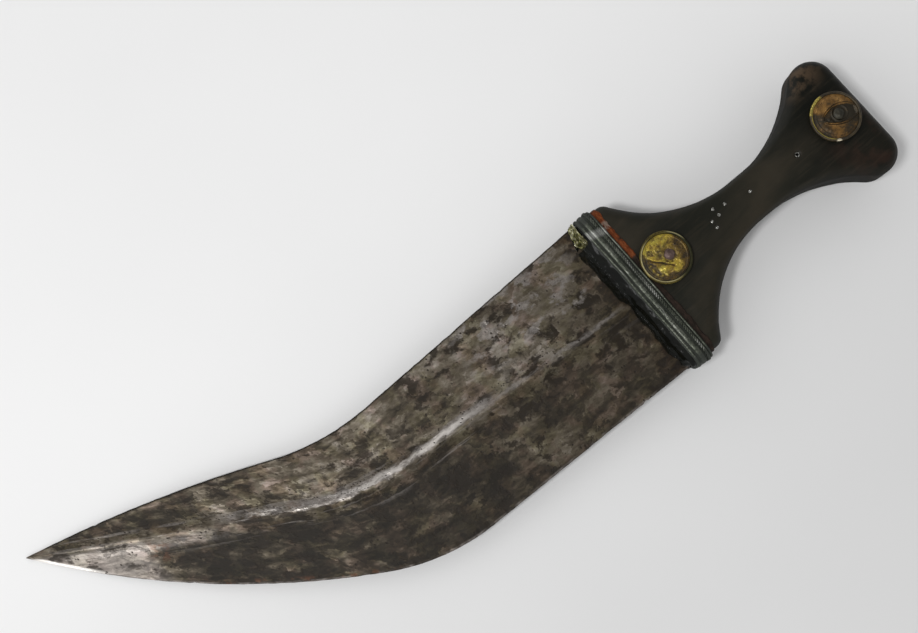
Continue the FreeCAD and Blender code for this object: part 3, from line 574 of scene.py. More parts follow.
def steel_regions(s, along, across, edge):
    """How much lighter or darker the patina is in each part of the blade; the darker lower wing is painted
    shade, and by the point the lighter lower facet is a painted reflection and the darker upper face painted
    shade.
    """
    lower = s.fall(across, -7.0, -1.5)
    upper = s.fade(across, 2.0, 7.0)
    near_point = s.fall(along, -216, -204)
    # Painted shade: the first two parts darken the lower wing.
    parts = ((s.times(lower, s.band(along, -208, -72, 14)), -0.155),
             (s.times(lower, s.fade(along, -80, -60)), -0.045),
             (s.times(s.fade(across, 6, 14), s.band(along, -64, -14, 9)), 0.06),
             (s.times(s.fade(across, 4, 10), s.band(along, -128, -74, 12)), 0.015),
             (s.fade(along, -14, -5), -0.05),
             # Painted reflection on the lower facet by the point, and painted shade on the upper face towards
             # the point.
             (s.times(near_point, s.fall(across, -2, 2)), 0.09),
             (s.times(s.fall(along, -196, -150), upper), -0.09),
             (s.times(s.band(along, -214, -160, 10), s.band(edge, 0.9, 2.2, 0.4)), 0.06))
    lift = 0.0
    for mask, amount in parts:
        lift = s.plus(s.times(mask, amount), lift)
    return lift


def rubbed_and_highlit_steel(s, along, across, crest, edge, smooth):
    """Where the steel is rubbed and a highlight is painted: the rib's one flank, a painted reflection on
    rubbed steel, thin streaks by it, the lower facet by the point, a painted reflection, and the lower edge,
    a painted highlight on its sharpened bevel.
    """
    broken = s.fade(s.noise(7.0, 5.0, 0.62, (0.4, 1.5, 1), (3, 9, 0), twist=0.5), 0.34, 0.5)
    # Painted highlight along the rib, narrow by the root and wide further on, where the steel is also rubbed.
    narrow = s.times(s.band(crest, 0.4, 1.8, 0.6), s.band(along, -80, -10, 6))
    wide = s.times(s.band(crest, 0.3, 3.8, 0.8), s.band(along, -176, -66, 7))
    wide = s.times(wide, s.fade(along, -172, -118, 0.8, 1.0))
    # Painted reflection on the lower facet by the point.
    far = s.times(s.band(across, -5.5, -1.0, 1.6), s.band(along, -214, -180, 8))
    rubbed = s.most(s.times(narrow, 0.5), s.times(wide, 0.85))
    rubbed = s.most(rubbed, s.times(far, 0.3))
    rubbed = s.times(rubbed, broken)
    rubbed = s.most(rubbed, s.times(smooth, s.blend(broken, 0.25, 0.95)))
    streak = s.fade(s.noise(5.0, 4.0, 0.6, (0.12, 1.8, 1), (70, 0, 0)), 0.55, 0.64)
    near = s.times(s.band(across, -7.0, 7.0, 3.0), s.fade(along, -90, -60, 0.3, 0.08))
    rubbed = s.most(rubbed, s.times(streak, near))
    scuff = s.fade(s.noise(6.0, 4.0, 0.6, (0.8, 1.2, 1), (1, 77, 0)), 0.52, 0.61)
    scuff = s.times(scuff, s.times(s.fade(across, 7, 13), s.band(along, -62, -12, 8)))
    rubbed = s.most(rubbed, s.times(scuff, 0.62))
    # Painted highlight along the lower edge's sharpened bevel.
    keen = s.times(s.fall(edge, 0.4, 1.1), s.fall(across, -1.0, 1.0))
    keen = s.times(keen, s.fade(s.noise(9.0, 3.0, 0.6, shift=(1, 1, 9)), 0.42, 0.6, 0.05, 0.45))
    return s.most(rubbed, keen)


def steel_rust(s, along, across, edge):
    """Rust along the outer edge of the belly, and one patch before the point."""
    rim = s.times(s.fall(edge, 0.8, 3.2), s.fall(across, -3.0, -1.0))
    rim = s.times(rim, s.band(along, -196, -138, 12))
    rim = s.times(rim, s.fade(s.noise(3.6, 4.0, 0.6, shift=(8, 0, 2)), 0.53, 0.66, 0.0, 0.6))
    spot = s.spot((-205, -6.0, 0), 4.0, 3.0, (1, 1, 0))
    spot = s.times(spot, s.fade(s.noise(2.8, 4.0, 0.6, shift=(18, 0, 2)), 0.46, 0.6, 0.0, 0.45))
    return s.most(rim, spot)


# ---------------------------------------------------------------- horn hilt

def remeshed(node, voxel):
    """A CAD node as an even skin of small quads: points, normals and faces in the dagger's own frame."""
    copy = bpy.data.objects.new(node + "_source", frame["nodes"][node].data.copy())
    bpy.context.collection.objects.link(copy)
    skin = copy.modifiers.new("skin", "REMESH")
    skin.mode = "VOXEL"
    skin.voxel_size = voxel / 1000
    skin.use_smooth_shade = True
    ease = copy.modifiers.new("ease", "SMOOTH")
    ease.factor = 0.5
    ease.iterations = 4
    ready = copy.evaluated_get(bpy.context.evaluated_depsgraph_get()).to_mesh()
    points = to_own(read_vectors(ready.vertices, "co"))
    normals = read_vectors(ready.vertices, "normal") @ TURN.T
    faces = [tuple(face.vertices) for face in ready.polygons]
    copy.to_mesh_clear()
    held = copy.data
    bpy.data.objects.remove(copy)
    bpy.data.meshes.remove(held)
    return points, normals, faces


def make_horn():
    """The hilt, carved and polished by hand: slight waves and soft facets in its surface."""
    voxel = 0.55
    wave_depth, facet_depth = 0.22, 0.05
    sink = 0.02
    points, normals, faces = remeshed("hilt", voxel)
    free = smooth_step(points[:, 0], 11.0, 15.0)
    wave = wave_depth * noise(points, 19.0, 11, 2) + facet_depth * noise(points, 4.5, 12, 2)
    points = points + normals * (free * wave - sink)[:, None]
    dress(new_piece("hilt_horn", points, faces, "horn", ["hilt"]), horn_finish())


def horn_finish():
    """Near-black polished horn: clouds, grain along the hilt, scratches, two worn brown patches, and painted
    shade on its sides.
    """
    s = Shader("polished_horn")
    cloud = s.noise(26.0, 4.0, 0.55, (0.6, 1.2, 1), (7, 3, 1), twist=0.4)
    grain = s.noise(2.4, 5.0, 0.6, (0.16, 1.6, 1.6), twist=0.3)
    scratch = s.noise(0.9, 3.0, 0.7, (0.25, 2.2, 1), (3, 0, 0), turn=0.7)
    colour = s.ramp(cloud, [(0.3, (0.006, 0.0064, 0.0045)), (0.5, (0.0112, 0.0112, 0.0078)),
                            (0.7, (0.024, 0.02, 0.013))])
    colour = s.stain(s.fade(s.axis("X"), 66, 96), 1.0, colour, (0.36, 0.38, 0.35))
    colour = s.mix(s.times(s.fade(grain, 0.5, 0.66), 0.35), colour, (0.026, 0.021, 0.014))
    worn = s.spot((99.0, 23.0, 9.0), 6.5, 5.0, (0.8, 1, 0.4))
    worn = s.times(worn, s.fade(s.noise(5.5, 5.0, 0.65, shift=(2, 8, 0)), 0.42, 0.6))
    colour = s.lay(worn, 0.65, colour, (0.085, 0.056, 0.034))
    red = s.spot((103.0, -14.0, 8.0), 13.0, 9.0, (1, 0.8, 0.3))
    red = s.times(red, s.fade(s.noise(9.0, 4.0, 0.6, shift=(0, 40, 0)), 0.42, 0.66))
    colour = s.lay(red, 0.5, colour, (0.03, 0.015, 0.01))
    rough = s.fade(cloud, 0.3, 0.7, 0.34, 0.46)
    rough = s.plus(rough, s.times(s.fade(scratch, 0.55, 0.72), 0.12))
    # Painted shade: the sides below the front face are darkened.
    face_height = float(node_span("hilt")[1][2])
    flank = s.fall(s.axis("Z"), face_height - 4.0, face_height - 0.8)
    colour = s.lay(flank, 0.6, colour, (0.003, 0.003, 0.0018))
    relief = s.bump(grain, 0.05)
    relief = s.bump(scratch, 0.03, relief)
    rough = s.blend(flank, rough, 0.75)
    return s.finish(colour, rough, 0.0, relief, Specular_IOR_Level=0.14)


# ---------------------------------------------------------------- resin bead

def make_resin():
    """Black resin poured round the blade's root: lumps, drips and a ragged front edge."""
    voxel = 0.42
    lump_depth, grain_depth, sink = 0.38, 0.2, 0.15
    least_back, near_back, end_back = 0.1, 1.5, 1.3
    points, normals, faces = remeshed("pitch_setting", voxel)
    front = smooth_step(-points[:, 0], -1.4, 0.2)
    lump = lump_depth * noise(points, 3.4, 21, 2) + grain_depth * noise(points, 1.5, 22, 2) - sink
    points = points + normals * (front * lump)[:, None]
    reach = smooth_step(-points[:, 0], 0.2, 4.0)
    shore = points * np.array([0, 1, 1])
    ends = smooth_step(np.abs(points[:, 1]), 22.0, 32.0)
    near = 1 - smooth_step(points[:, 1], -3.0, 8.0)
    drips = 0.8 * np.abs(noise(shore, 6.5, 23, 2)) + 0.2 * noise(shore, 2.2, 24)
    points[:, 0] += reach * (least_back + near_back * near + end_back * ends + drips)
    dress(new_piece("resin_setting", points, faces, "pitch", ["pitch_setting"]), resin_finish())


def resin_finish():
    """Black resin: dull where flat, glossy and crumbly along its front."""
    s = Shader("black_resin")
    lump = s.noise(2.2, 5.0, 0.6)
    dust = s.noise(6.0, 5.0, 0.6, shift=(9, 2, 0))
    front = s.fall(s.axis("X"), -2.6, -1.2)
    colour = s.ramp(dust, [(0.35, (0.0012, 0.0015, 0.0009)), (0.62, (0.0026, 0.003, 0.0018)),
                           (0.8, (0.007, 0.0075, 0.005))])
    rough = s.blend(front, 0.3, s.fade(dust, 0.35, 0.7, 0.04, 0.14))
    relief = s.bump(s.times(lump, s.blend(front, 0.12, 1.0)), 0.8)
    crumb = s.times(s.noise(1.5, 3.0, 0.5), s.blend(front, 0.04, 1.0))
    relief = s.bump(crumb, 0.65, relief)
    return s.finish(colour, rough, 0.0, relief, Specular_IOR_Level=0.11)


# ---------------------------------------------------------------- collar

# The collar, outward from the hilt: liner, sheet band, then wires with their feet sunk into it.
LINER_THICK = 0.4
BAND_THICK = 0.7
HILT_CORNER = 4.4
COLLAR_SEAT = LINER_THICK + BAND_THICK
WIRE_FOOT = 0.05


def collar_path(grow, count=420):
    """Places and outward directions round the hilt's base, grown outward by grow."""
    low, high = node_span("collar_liner")
    corner = HILT_CORNER
    middle = (low[1:] + high[1:]) / 2
    wide, tall = (high[1:] - low[1:]) / 2 - LINER_THICK - corner
    bend = corner * math.pi / 2
    runs = [2 * tall, bend, 2 * wide, bend] * 2
    stations = np.linspace(0, sum(runs), count, endpoint=False)
    ends = np.cumsum([0] + runs)
    centres = [(wide, tall), (-wide, tall), (-wide, -tall), (wide, -tall)]
    places = []
    outs = []
    for station in stations:
        run = int(np.searchsorted(ends, station, side="right")) - 1
        quarter, on_bend = divmod(run, 2)
        done = station - ends[run]
        angle = quarter * math.pi / 2 + (done / corner if on_bend else 0.0)
        out = np.array([math.cos(angle), math.sin(angle)])
        if on_bend:
            base = np.array(centres[quarter])
        else:
            base = np.array(centres[(quarter - 1) % 4]) + done * np.array([-out[1], out[0]])
        places.append(base + out * (corner + grow) + middle)
        outs.append(out)
    return np.array(places), np.array(outs), stations


def looped(rows):
    """Points and faces of a ring made of cross-sections."""
    rows = np.array(rows)
    return rows.reshape(-1, 3), tube_faces(*rows.shape[:2], close_rows=True)


def swept_ring(profile, wobble):
    """A closed ring on the collar with a cross-section given as (along, out) points."""
    rows = []
    for place, out, station in zip(*collar_path(COLLAR_SEAT)):
        slide, dent = wobble(station)
        free = [1.0 if rise > WIRE_FOOT else 0.0 for along, rise in profile]
        rows.append([(along + slide * share, *(place + out * (rise + dent * share)))
                     for share, (along, rise) in zip(free, profile)])
    return looped(rows)


def rounded_profile(start, end, rise, steps=9):
    """A full, slightly squared wire section, its foot sunk a little into the band."""
    middle = (start + end) / 2
    half = (end - start) / 2
    lowest = 0.06
    points = [(start, -WIRE_FOOT)]
    for angle in np.linspace(math.pi, 0, steps):
        aside = math.copysign(abs(math.cos(angle)) ** 0.7, math.cos(angle))
        up = rise * math.sin(angle) ** 0.75 if 0 < math.sin(angle) else lowest
        points.append((middle + half * aside, up))
    points.append((end, -WIRE_FOOT))
    return points


def wire_wobble(seed, reach=0.16, dent_depth=0.1):
    """How a wire strays along the hilt and is dented, by its station round the collar."""
    def wobble(station):
        slide = reach * line_noise(station, seed * 40.0, 16.0, seed, 2)
        dent = dent_depth * line_noise(station, seed * 40.0, 5.0, seed + 3, 2)
        return slide, dent
    return wobble


def still(_station):
    """No straying and no dents."""
    return 0.0, 0.0


def make_collar():
    """Sheet band with four raised wires; the third is twisted from two strands."""
    band_low, band_high = node_span("collar_band")
    metal = white_metal()
    inside = 0.02 - BAND_THICK
    profile = [(band_low[0], inside), (band_low[0], -0.02), (band_low[0] + 0.3, 0.0),
               (band_high[0] - 0.2, 0.0), (band_high[0], -0.15), (band_high[0], inside)]
    band = new_piece("collar_sheet", *swept_ring(profile, still), "white_metal", ["collar_band"])
    dress(band, metal)
    for number in (1, 2, 4):
        label = "collar_wire_%d" % number
        low, high = node_span(label)
        rise = (high[2] - low[2]) / 2 - (band_high[2] - band_low[2]) / 2
        shape = swept_ring(rounded_profile(low[0], high[0], rise), wire_wobble(number))
        wire = new_piece(label + "_drawn", *shape, "white_metal", [label])
        dress(wire, metal)
    make_twisted_wire(metal)


def make_twisted_wire(metal):
    """Two round strands wound round each other, flattened where they lie on the band."""
    strand_radius = 0.36
    pitch = 2.1
    orbit_along, orbit_out = 0.33, 0.2
    hub_rise = 0.33
    sway, sways = 0.12, 3
    floor = -0.03
    low, high = node_span("collar_wire_3")
    middle = (low[0] + high[0]) / 2
    places, outs, stations = collar_path(COLLAR_SEAT, 1300)
    length = stations[-1] + stations[1]
    turns = round(length / pitch)
    shapes = []
    for strand in (0, math.pi):
        rows = []
        for place, out, station in zip(places, outs, stations):
            share = 2 * math.pi * station / length
            phase = turns * share + strand
            hub_along = middle + sway * math.sin(sways * share) + orbit_along * math.cos(phase)
            hub_out = hub_rise + orbit_out * math.sin(phase)
            ring = []
            for angle in np.linspace(0, 2 * math.pi, 8, endpoint=False):
                rise = max(hub_out + strand_radius * math.sin(angle), floor)
                ring.append((hub_along + strand_radius * math.cos(angle), *(place + out * rise)))
            rows.append(ring)
        shapes.append(looped(rows))
    wire = new_piece("collar_wire_3_twisted", *join_shapes(shapes), "white_metal", ["collar_wire_3"])
    dress(wire, metal)


def white_metal():
    """Tarnished white metal: dirt between the wires, grime, and wear on top of them."""
    s = Shader("tarnished_white_metal")
    cloud = s.noise(9.0, 5.0, 0.6, (1, 0.6, 1))
    hatch = s.noise(0.8, 4.0, 0.6, (1.2, 0.6, 1))
    colour = s.ramp(cloud, [(0.32, (0.036, 0.04, 0.03)), (0.5, (0.078, 0.085, 0.066)),
                            (0.68, (0.15, 0.156, 0.132))])
    front_level = 11.0
    away = s.minus(s.axis("Z"), front_level)
    dirt = s.fall(away, -0.05, 0.3)
    colour = s.lay(dirt, 0.85, colour, (0.01, 0.013, 0.009))
    grime = s.fade(s.noise(1.4, 4.0, 0.65, (0.7, 1.4, 1), (3, 1, 0)), 0.46, 0.6)
    colour = s.lay(grime, 0.68, colour, (0.02, 0.024, 0.017))
    streak = s.fade(s.noise(3.0, 4.0, 0.6, (1.6, 0.16, 1), (30, 0, 0)), 0.54, 0.64)
    worn = s.times(streak, s.fade(away, 0.35, 0.6))
    smear = s.band(s.plus(s.axis("Y"), s.times(s.axis("X"), 0.35)), 26.0, 29.0, 0.9)
    worn = s.most(s.times(worn, 0.6), s.times(smear, 0.45))
    colour = s.mix(worn, colour, (0.4, 0.4, 0.38))
    rough = s.blend(dirt, s.fade(hatch, 0.35, 0.65, 0.58, 0.32), 0.7)
    relief = s.bump(hatch, 0.14)
    relief = s.bump(cloud, 0.2, relief)
    return s.finish(colour, rough, s.blend(dirt, 0.8, 0.2), relief)


# ---------------------------------------------------------------- liner and foil

def make_liner():
    """The strip under the band: its rear edge is frayed where it shows."""
    fray, trim = 0.45, 0.15
    swelling = 0.05
    sunk = -0.02
    low, high = node_span("collar_liner")
    rows = []
    for place, out, station in zip(*collar_path(0.0, 620)):
        rear = high[0] + fray * line_noise(station, 3.0, 4.0, 41, 3) - trim
        lift = LINER_THICK + swelling * line_noise(station, 3.0, 6.0, 43, 2)
        section = [(low[0], sunk), (low[0], LINER_THICK + sunk), (rear - 0.5, lift),
                   (rear - 0.08, lift * 0.75), (rear, 0.1), (rear - 0.05, sunk)]
        rows.append([(along, *(place + out * rise)) for along, rise in section])
    dress(new_piece("liner_strip", *looped(rows), "liner", ["collar_liner"]), liner_finish())


def liner_finish():
    """Dull red leather on the side that the blade bends to, nearly black round the rest."""
    s = Shader("red_liner")
    side = s.axis("Y")
    fibre = s.noise(0.9, 5.0, 0.65, (1.4, 0.5, 1))
    stain = s.noise(5.0, 4.0, 0.6, shift=(2, 5, 0))
    red = s.ramp(fibre, [(0.35, (0.06, 0.014, 0.004)), (0.52, (0.125, 0.032, 0.009)),
                         (0.7, (0.195, 0.06, 0.02))])
    dark = s.ramp(fibre, [(0.35, (0.009, 0.007, 0.005)), (0.65, (0.03, 0.019, 0.014))])
    bright = s.band(side, 11.0, 33.5, 0.6)
    bright = s.times(bright, s.fade(stain, 0.3, 0.42))
    colour = s.mix(bright, dark, red)
    smear = s.times(s.band(side, 24.8, 27.8, 0.7), s.fade(fibre, 0.36, 0.5))
    colour = s.lay(smear, 0.8, colour, (0.17, 0.14, 0.115))
    relief = s.bump(fibre, 0.16)
    return s.finish(colour, 0.72, 0.0, relief, Specular_IOR_Level=0.1)


def make_foil():
    """Crumpled foil pushed in between the blade and the collar, torn along its free edges."""
    row_count, column_count = 60, 76
    sheet_length = 9.0
    tear_depth, corner_depth = 0.9, 1.6
    crease_height, crinkle_height, slip = 1.15, 1.25, 0.8
    low, high = node_span("brass_foil")
    row, column = np.meshgrid(np.linspace(0, 1, row_count), np.linspace(0, 1, column_count), indexing="ij")
    side = low[1] + (high[1] - low[1]) * column
    flat = level_places(row * sheet_length, side)
    edge = level_places(side, np.full(side.shape, 5.0))
    crease = noise(flat, 2.3, 51)
    crinkle = np.abs(noise(flat, 1.2, 52))
    tear = np.clip(tear_depth * noise(edge, 2.0, 53, 3) + 0.5, 0, None)
    corner = corner_depth * smooth_step(np.abs(column - 0.45), 0.25, 0.5) ** 2
    along = high[0] - ((high[0] - low[0]) * 0.92 - tear - corner) * row
    loose = np.sin(math.pi * np.minimum(1, row * 1.1 + 0.12))
    height = low[2] + 0.25 + (high[2] - low[2] - 0.9) * (1 - row) ** 1.25
    height += (crease_height * crease + crinkle_height * (crinkle - 0.35)) * loose
    slid = side + slip * noise(flat, 1.7, 55) * loose
    top = np.stack([along + 0.6 * crinkle * loose, np.clip(slid, low[1] - 0.3, high[1] + 0.3),
                    np.maximum(height, low[2] + 0.05)], axis=-1)
    under = top.copy()
    under[:, :, 2] = np.minimum(top[:, :, 2] - 0.25, low[2] + 0.3)
    ring = np.concatenate([top, under[:, ::-1]], axis=1)
    foil = new_piece("foil_crumpled", ring, tube_faces(*ring.shape[:2]), "brass_foil",
                     ["brass_foil"], smooth=False)
    add_value(foil, "fold", np.concatenate([crinkle, crinkle[:, ::-1]], axis=1))
    dress(foil, foil_finish())


def foil_finish():
    """Thin greenish brass, dark in its folds and bright on their tops."""
    s = Shader("green_brass_foil")
    spot = s.noise(1.5, 5.0, 0.65)
    spot = s.plus(spot, s.times(s.minus(s.value("fold"), 0.3), 0.35))
    colour = s.ramp(spot, [(0.32, (0.012, 0.014, 0.005)), (0.41, (0.11, 0.108, 0.034)),
                           (0.52, (0.33, 0.32, 0.14)), (0.66, (0.72, 0.71, 0.52))])
    relief = s.bump(s.noise(0.6, 3.0, 0.6), 0.12)
    return s.finish(colour, s.fade(spot, 0.35, 0.65, 0.45, 0.18), 0.8, relief)


# ---------------------------------------------------------------- bosses

def circle(count):
    """Angles evenly round a circle."""
    return np.linspace(0, 2 * math.pi, count, endpoint=False)


def arc_points(centre, radii, start, end, steps):
    """(radius, height) points along an ellipse's arc."""
    angles = np.linspace(start, end, steps)
    return [(centre[0] + radii[0] * math.cos(angle), centre[1] + radii[1] * math.sin(angle))
            for angle in angles]


def turned(rings, middle, count):
    """A closed turned shape from (radius, height) rings that start and end on the axis."""
    turn = circle(count)
    rows = [np.stack([middle[0] + radius * np.cos(turn), middle[1] + radius * np.sin(turn),
                      np.full(count, height)], axis=1) for radius, height in rings]
    rows = np.array(rows)
    return rows, tube_faces(*rows.shape[:2])


def round_node(name):
    """A round CAD node's middle, radius, and lowest and highest level."""
    low, high = node_span(name)
    return (low[:2] + high[:2]) / 2, float(high[0] - low[0]) / 2, low[2], high[2]


def make_rim(boss, slot, material, seed):
    """The cup: rolled rim, a second step inside it, and the wear of hand hammering."""
    roll_across, roll_up = 0.55, 0.5
    dent_depth = 0.14
    out_of_round = 0.012
    middle, radius, base, top = round_node(boss + "_boss_rim")
    rings = [(0.3, base), (radius - 0.5, base), (radius - 0.05, base + 0.15), (radius, base + 0.55)]
    rings += arc_points((radius - roll_across, top - roll_up), (roll_across, roll_up), 0.15, math.pi - 0.1, 9)
    rings += [(radius - 1.12, base + 0.75), (radius - 1.3, base + 0.62), (0.3, base + 0.6)]
    rows, faces = turned(rings, middle, 160)
    offset = rows[:, :, :2] - middle
    turn = np.arctan2(offset[:, :, 1], offset[:, :, 0])
    ring_spot = level_places(9 * np.cos(turn), 9 * np.sin(turn))
    outer = smooth_step(np.hypot(offset[:, :, 0], offset[:, :, 1]), radius * 0.6, radius)
    rows[:, :, 2] += outer * dent_depth * noise(ring_spot, 3.5, seed, 2)
    shrink = 1 + outer * out_of_round * noise(ring_spot, 4.5, seed + 1, 2)
    rows[:, :, :2] = middle + offset * shrink[:, :, None]
    dress(new_piece(boss + "_rim_rolled", rows, faces, slot, [boss + "_boss_rim"]), material)


def make_struck_disc(boss, slot, material, relief):
    """The disc in the cup, its struck design given as a height over (x, y) from its middle."""
    middle, radius, base, _ = round_node(boss + "_boss_disc")
    radii = np.linspace(0.02, 1, 110) * radius
    turn = circle(260)
    x = radii[:, None] * np.cos(turn)[None, :]
    y = radii[:, None] * np.sin(turn)[None, :]
    height, painted_light_and_tarnish = relief(x, y, radius)
    face = np.stack([x + middle[0], y + middle[1], base + height], axis=-1)
    skirt = face[-1:].copy()
    skirt[:, :, 2] = base
    rows = np.concatenate([face, skirt])
    disc = new_piece(boss + "_disc_struck", rows, tube_faces(*rows.shape[:2]), slot, [boss + "_boss_disc"])
    add_value(disc, "painted_light_and_tarnish", np.concatenate([painted_light_and_tarnish, painted_light_and_tarnish[-1:]]))
    dress(disc, material)


def swell(distance, width):
    """A smooth bump over a distance: one at zero, nothing beyond a few widths."""
    return np.exp(-(distance / width) ** 2)


# The struck designs: places in millimetres across and up from a disc's middle.
DESIGN_TURN = math.radians(41.5)
LOWER_BEADS = ((-4.6, -5.2), (-3.2, -6.4), (-1.5, -6.9), (0.3, -6.6), (-5.9, -3.8))
LOWER_DOTS = ((-1.8, 6.6), (0.8, 6.7), (-3.6, 4.6), (-5.0, 0.4), (2.4, -1.2))
LOWER_CURLS = (((4.6, 3.4), 1.0), ((6.2, 1.6), 0.9), ((3.4, 5.4), 0.8), ((-4.2, -4.6), 0.9),
               ((-3.2, 2.6), 1.1), ((6.0, -0.8), 0.8), ((-0.6, 4.3), 0.8))
UPPER_BEADS = ((-2.3, -1.4), (-3.2, -2.6), (-1.2, -2.3), (-3.0, -5.0), (-1.8, -5.6), (-5.0, -1.2))


def turned_axes(x, y, angle):
    """Coordinates along axes turned by an angle."""
    return (x * math.cos(angle) - y * math.sin(angle), x * math.sin(angle) + y * math.cos(angle))


def scattered(across, up, spots, width, ring=0.0):
    """Small bumps, or rings of a given radius, at a list of spots."""
    return sum(swell(np.hypot(across - spot[0], up - spot[1]) - ring, width) for spot in spots)


def lower_relief(x, y, radius):
    """Stepped border, a ledge with a band under it, beads, curls and a small chequered block."""
    away = np.hypot(x, y)
    places = level_places(x, y)
    across, up = turned_axes(x, y, DESIGN_TURN)
    across = across + 0.35 * noise(places, 2.2, 62, 2)
    up = up + 0.35 * noise(places, 2.2, 63, 2)
    inside = smooth_step(radius * 0.9 - away, 0, 0.8)
    rough = noise(places, 1.6, 61, 3)
    lower_left = smooth_step(-across - 1.3 * up, -7.0, 2.0)
    arcs = swell(away - radius * 0.93, 0.22) + lower_left * swell(away - radius * 0.8, 0.22)
    ledge = up + 2.6 - 0.018 * across ** 2 + 0.05 * across
    span = smooth_step(5.6 - np.abs(across + 1.6), 0, 1.2)
    cut = span * swell(ledge, 0.26)
    lip = span * swell(ledge - 0.6, 0.38)
    above = smooth_step(4.0 - np.abs(across + 2.6), 0, 1.6) * swell(ledge - 1.3, 0.7)
    band = swell(up + 4.3 - 0.05 * across, 0.85) * smooth_step(3.8 - np.abs(across - 1.0), 0, 1.2)
    beads = scattered(across, up, LOWER_BEADS, 0.55)
    dots = scattered(across, up, LOWER_DOTS, 0.32)
    curls = sum(scattered(across, up, (spot,), 0.22, ring) for spot, ring in LOWER_CURLS)
    curls = np.clip(curls, 0, 1) * smooth_step(noise(places, 1.6, 68, 2), -0.25, 0.35) * inside
    chequer = smooth_step(1.2 - np.abs(across + 6.2), 0, 0.3) * smooth_step(1.3 - np.abs(up - 0.9), 0, 0.3)
    height = 0.35 + 0.72 * smooth_step(radius - away, 0.3, 4.0) + 0.12 * rough * inside
    height += 0.2 * arcs + 0.24 * lip - 0.34 * cut + 0.22 * band
    height += 0.34 * beads + 0.2 * curls - 0.2 * dots
    height += 0.18 * chequer * np.sin(across * 5.2) * np.sin(up * 5.2)
    # Painted shade in the ledge's cut, the chequer, dots and curls, and painted highlights on the band, lip,
    # the strip above the ledge, the beads and arcs, standing in for the relief's own shading.
    dark = [cut, 0.75 * chequer, 0.9 * dots, 0.45 * curls, 0.45 * smooth_step(-rough, 0.2, 0.8)]
    light = [band, 0.75 * lip, 0.95 * above * smooth_step(rough, 0.05, 0.4), 0.8 * beads,
             0.6 * arcs * lower_left]
    return height, lower_painted_light_and_tarnish(across, up, places, dark, light, beads)


def lower_painted_light_and_tarnish(across, up, places, dark, light, beads):
    """Half where plain, less in painted shade and where the brass is darker in patches, more in painted
    highlights.
    """
    dull = smooth_step(across + 0.3 * up + 1.0 * noise(places, 2.5, 64, 2), 3.4, 6.2)
    pool = smooth_step(-up - 0.75 * across + 0.9 * noise(places, 2.0, 65, 2), 5.6, 7.0)
    green = smooth_step(-up + 0.5 * across + 0.9 * noise(places, 2.0, 67, 2), 6.2, 7.6)
    # Painted highlight on the upper left of the disc, and a painted flare below the rivet.
    patch = smooth_step(up - 1.0 * across + 0.8 * noise(places, 3.0, 66), 5.0, 7.5)
    flare = smooth_step(2.4 - np.hypot((across - 4.9) * 0.8, up + 1.9), 0, 1.6)
    dark = np.maximum.reduce([0.62 * dull, 0.85 * pool, 0.7 * green, *dark])
    light = np.maximum.reduce([0.62 * patch, 0.8 * flare, *light])
    dark = np.clip(dark * (1 - np.maximum(0.8 * flare, 0.7 * beads)), 0, 1)
    return np.clip(0.5 - 0.5 * dark + 0.5 * light * (1 - dark), 0, 1)


def upper_relief(x, y, radius):
    """A domed plate with an engraved almond: double lids, beads at its corner, a line below."""
    away = np.hypot(x, y)
    across, up = turned_axes(x, y, DESIGN_TURN)
    places = level_places(x, y)
    height = 0.42 + 0.48 * smooth_step(radius - away, 0.2, 3.0)
    almond_turn = math.radians(-21.0)
    almond_half = 7.4
    long_way, short_way = turned_axes(across - 2.2, up - 0.7, almond_turn)
    taper = np.clip(1 - (long_way / almond_half) ** 2, 0, 1) ** 0.8
    lid = np.where(short_way > 0, short_way - 3.9 * taper, -short_way - 2.9 * taper)
    reach = smooth_step(almond_half - np.abs(long_way), 0, 0.8)
    inside = smooth_step(-lid, -0.1, 0.5) * reach
    height -= 0.4 * inside
    height += reach * (0.24 * swell(lid - 0.1, 0.22) - 0.16 * swell(lid - 0.5, 0.18)
                       + 0.14 * swell(lid - 0.85, 0.2))
    height += 0.22 * swell(np.hypot(across - 1.4, up - 1.3) - 2.9, 0.3) * inside
    height += 0.26 * scattered(across, up, UPPER_BEADS, 0.55)
    lower_left = smooth_step(-across - up, -5.0, 2.0)
    height += 0.2 * lower_left * swell(away - radius * 0.86, 0.2)
    rough = noise(places, 2.2, 71, 3)
    height += 0.07 * rough
    shade = smooth_step(across - 0.25 * up + 1.2 * noise(places, 3.0, 72, 2), 2.6, 6.0)
    corner = smooth_step(-across - 0.4 * up + 0.8 * noise(places, 2.0, 73, 2), 2.6, 4.6)
    corner = corner * smooth_step(-up, -2.0, 0.5)
    # Painted shade inside the engraved almond, in its lid groove and on one side (shade); the corner is
    # darker too.
    dark = np.maximum.reduce([inside, 0.85 * shade, 0.75 * corner, 0.6 * swell(lid - 0.5, 0.22) * reach])
    light = smooth_step(-rough, -0.2, 0.8)
    return height, np.clip(0.5 - 0.5 * dark + 0.3 * light * (1 - dark), 0, 1)


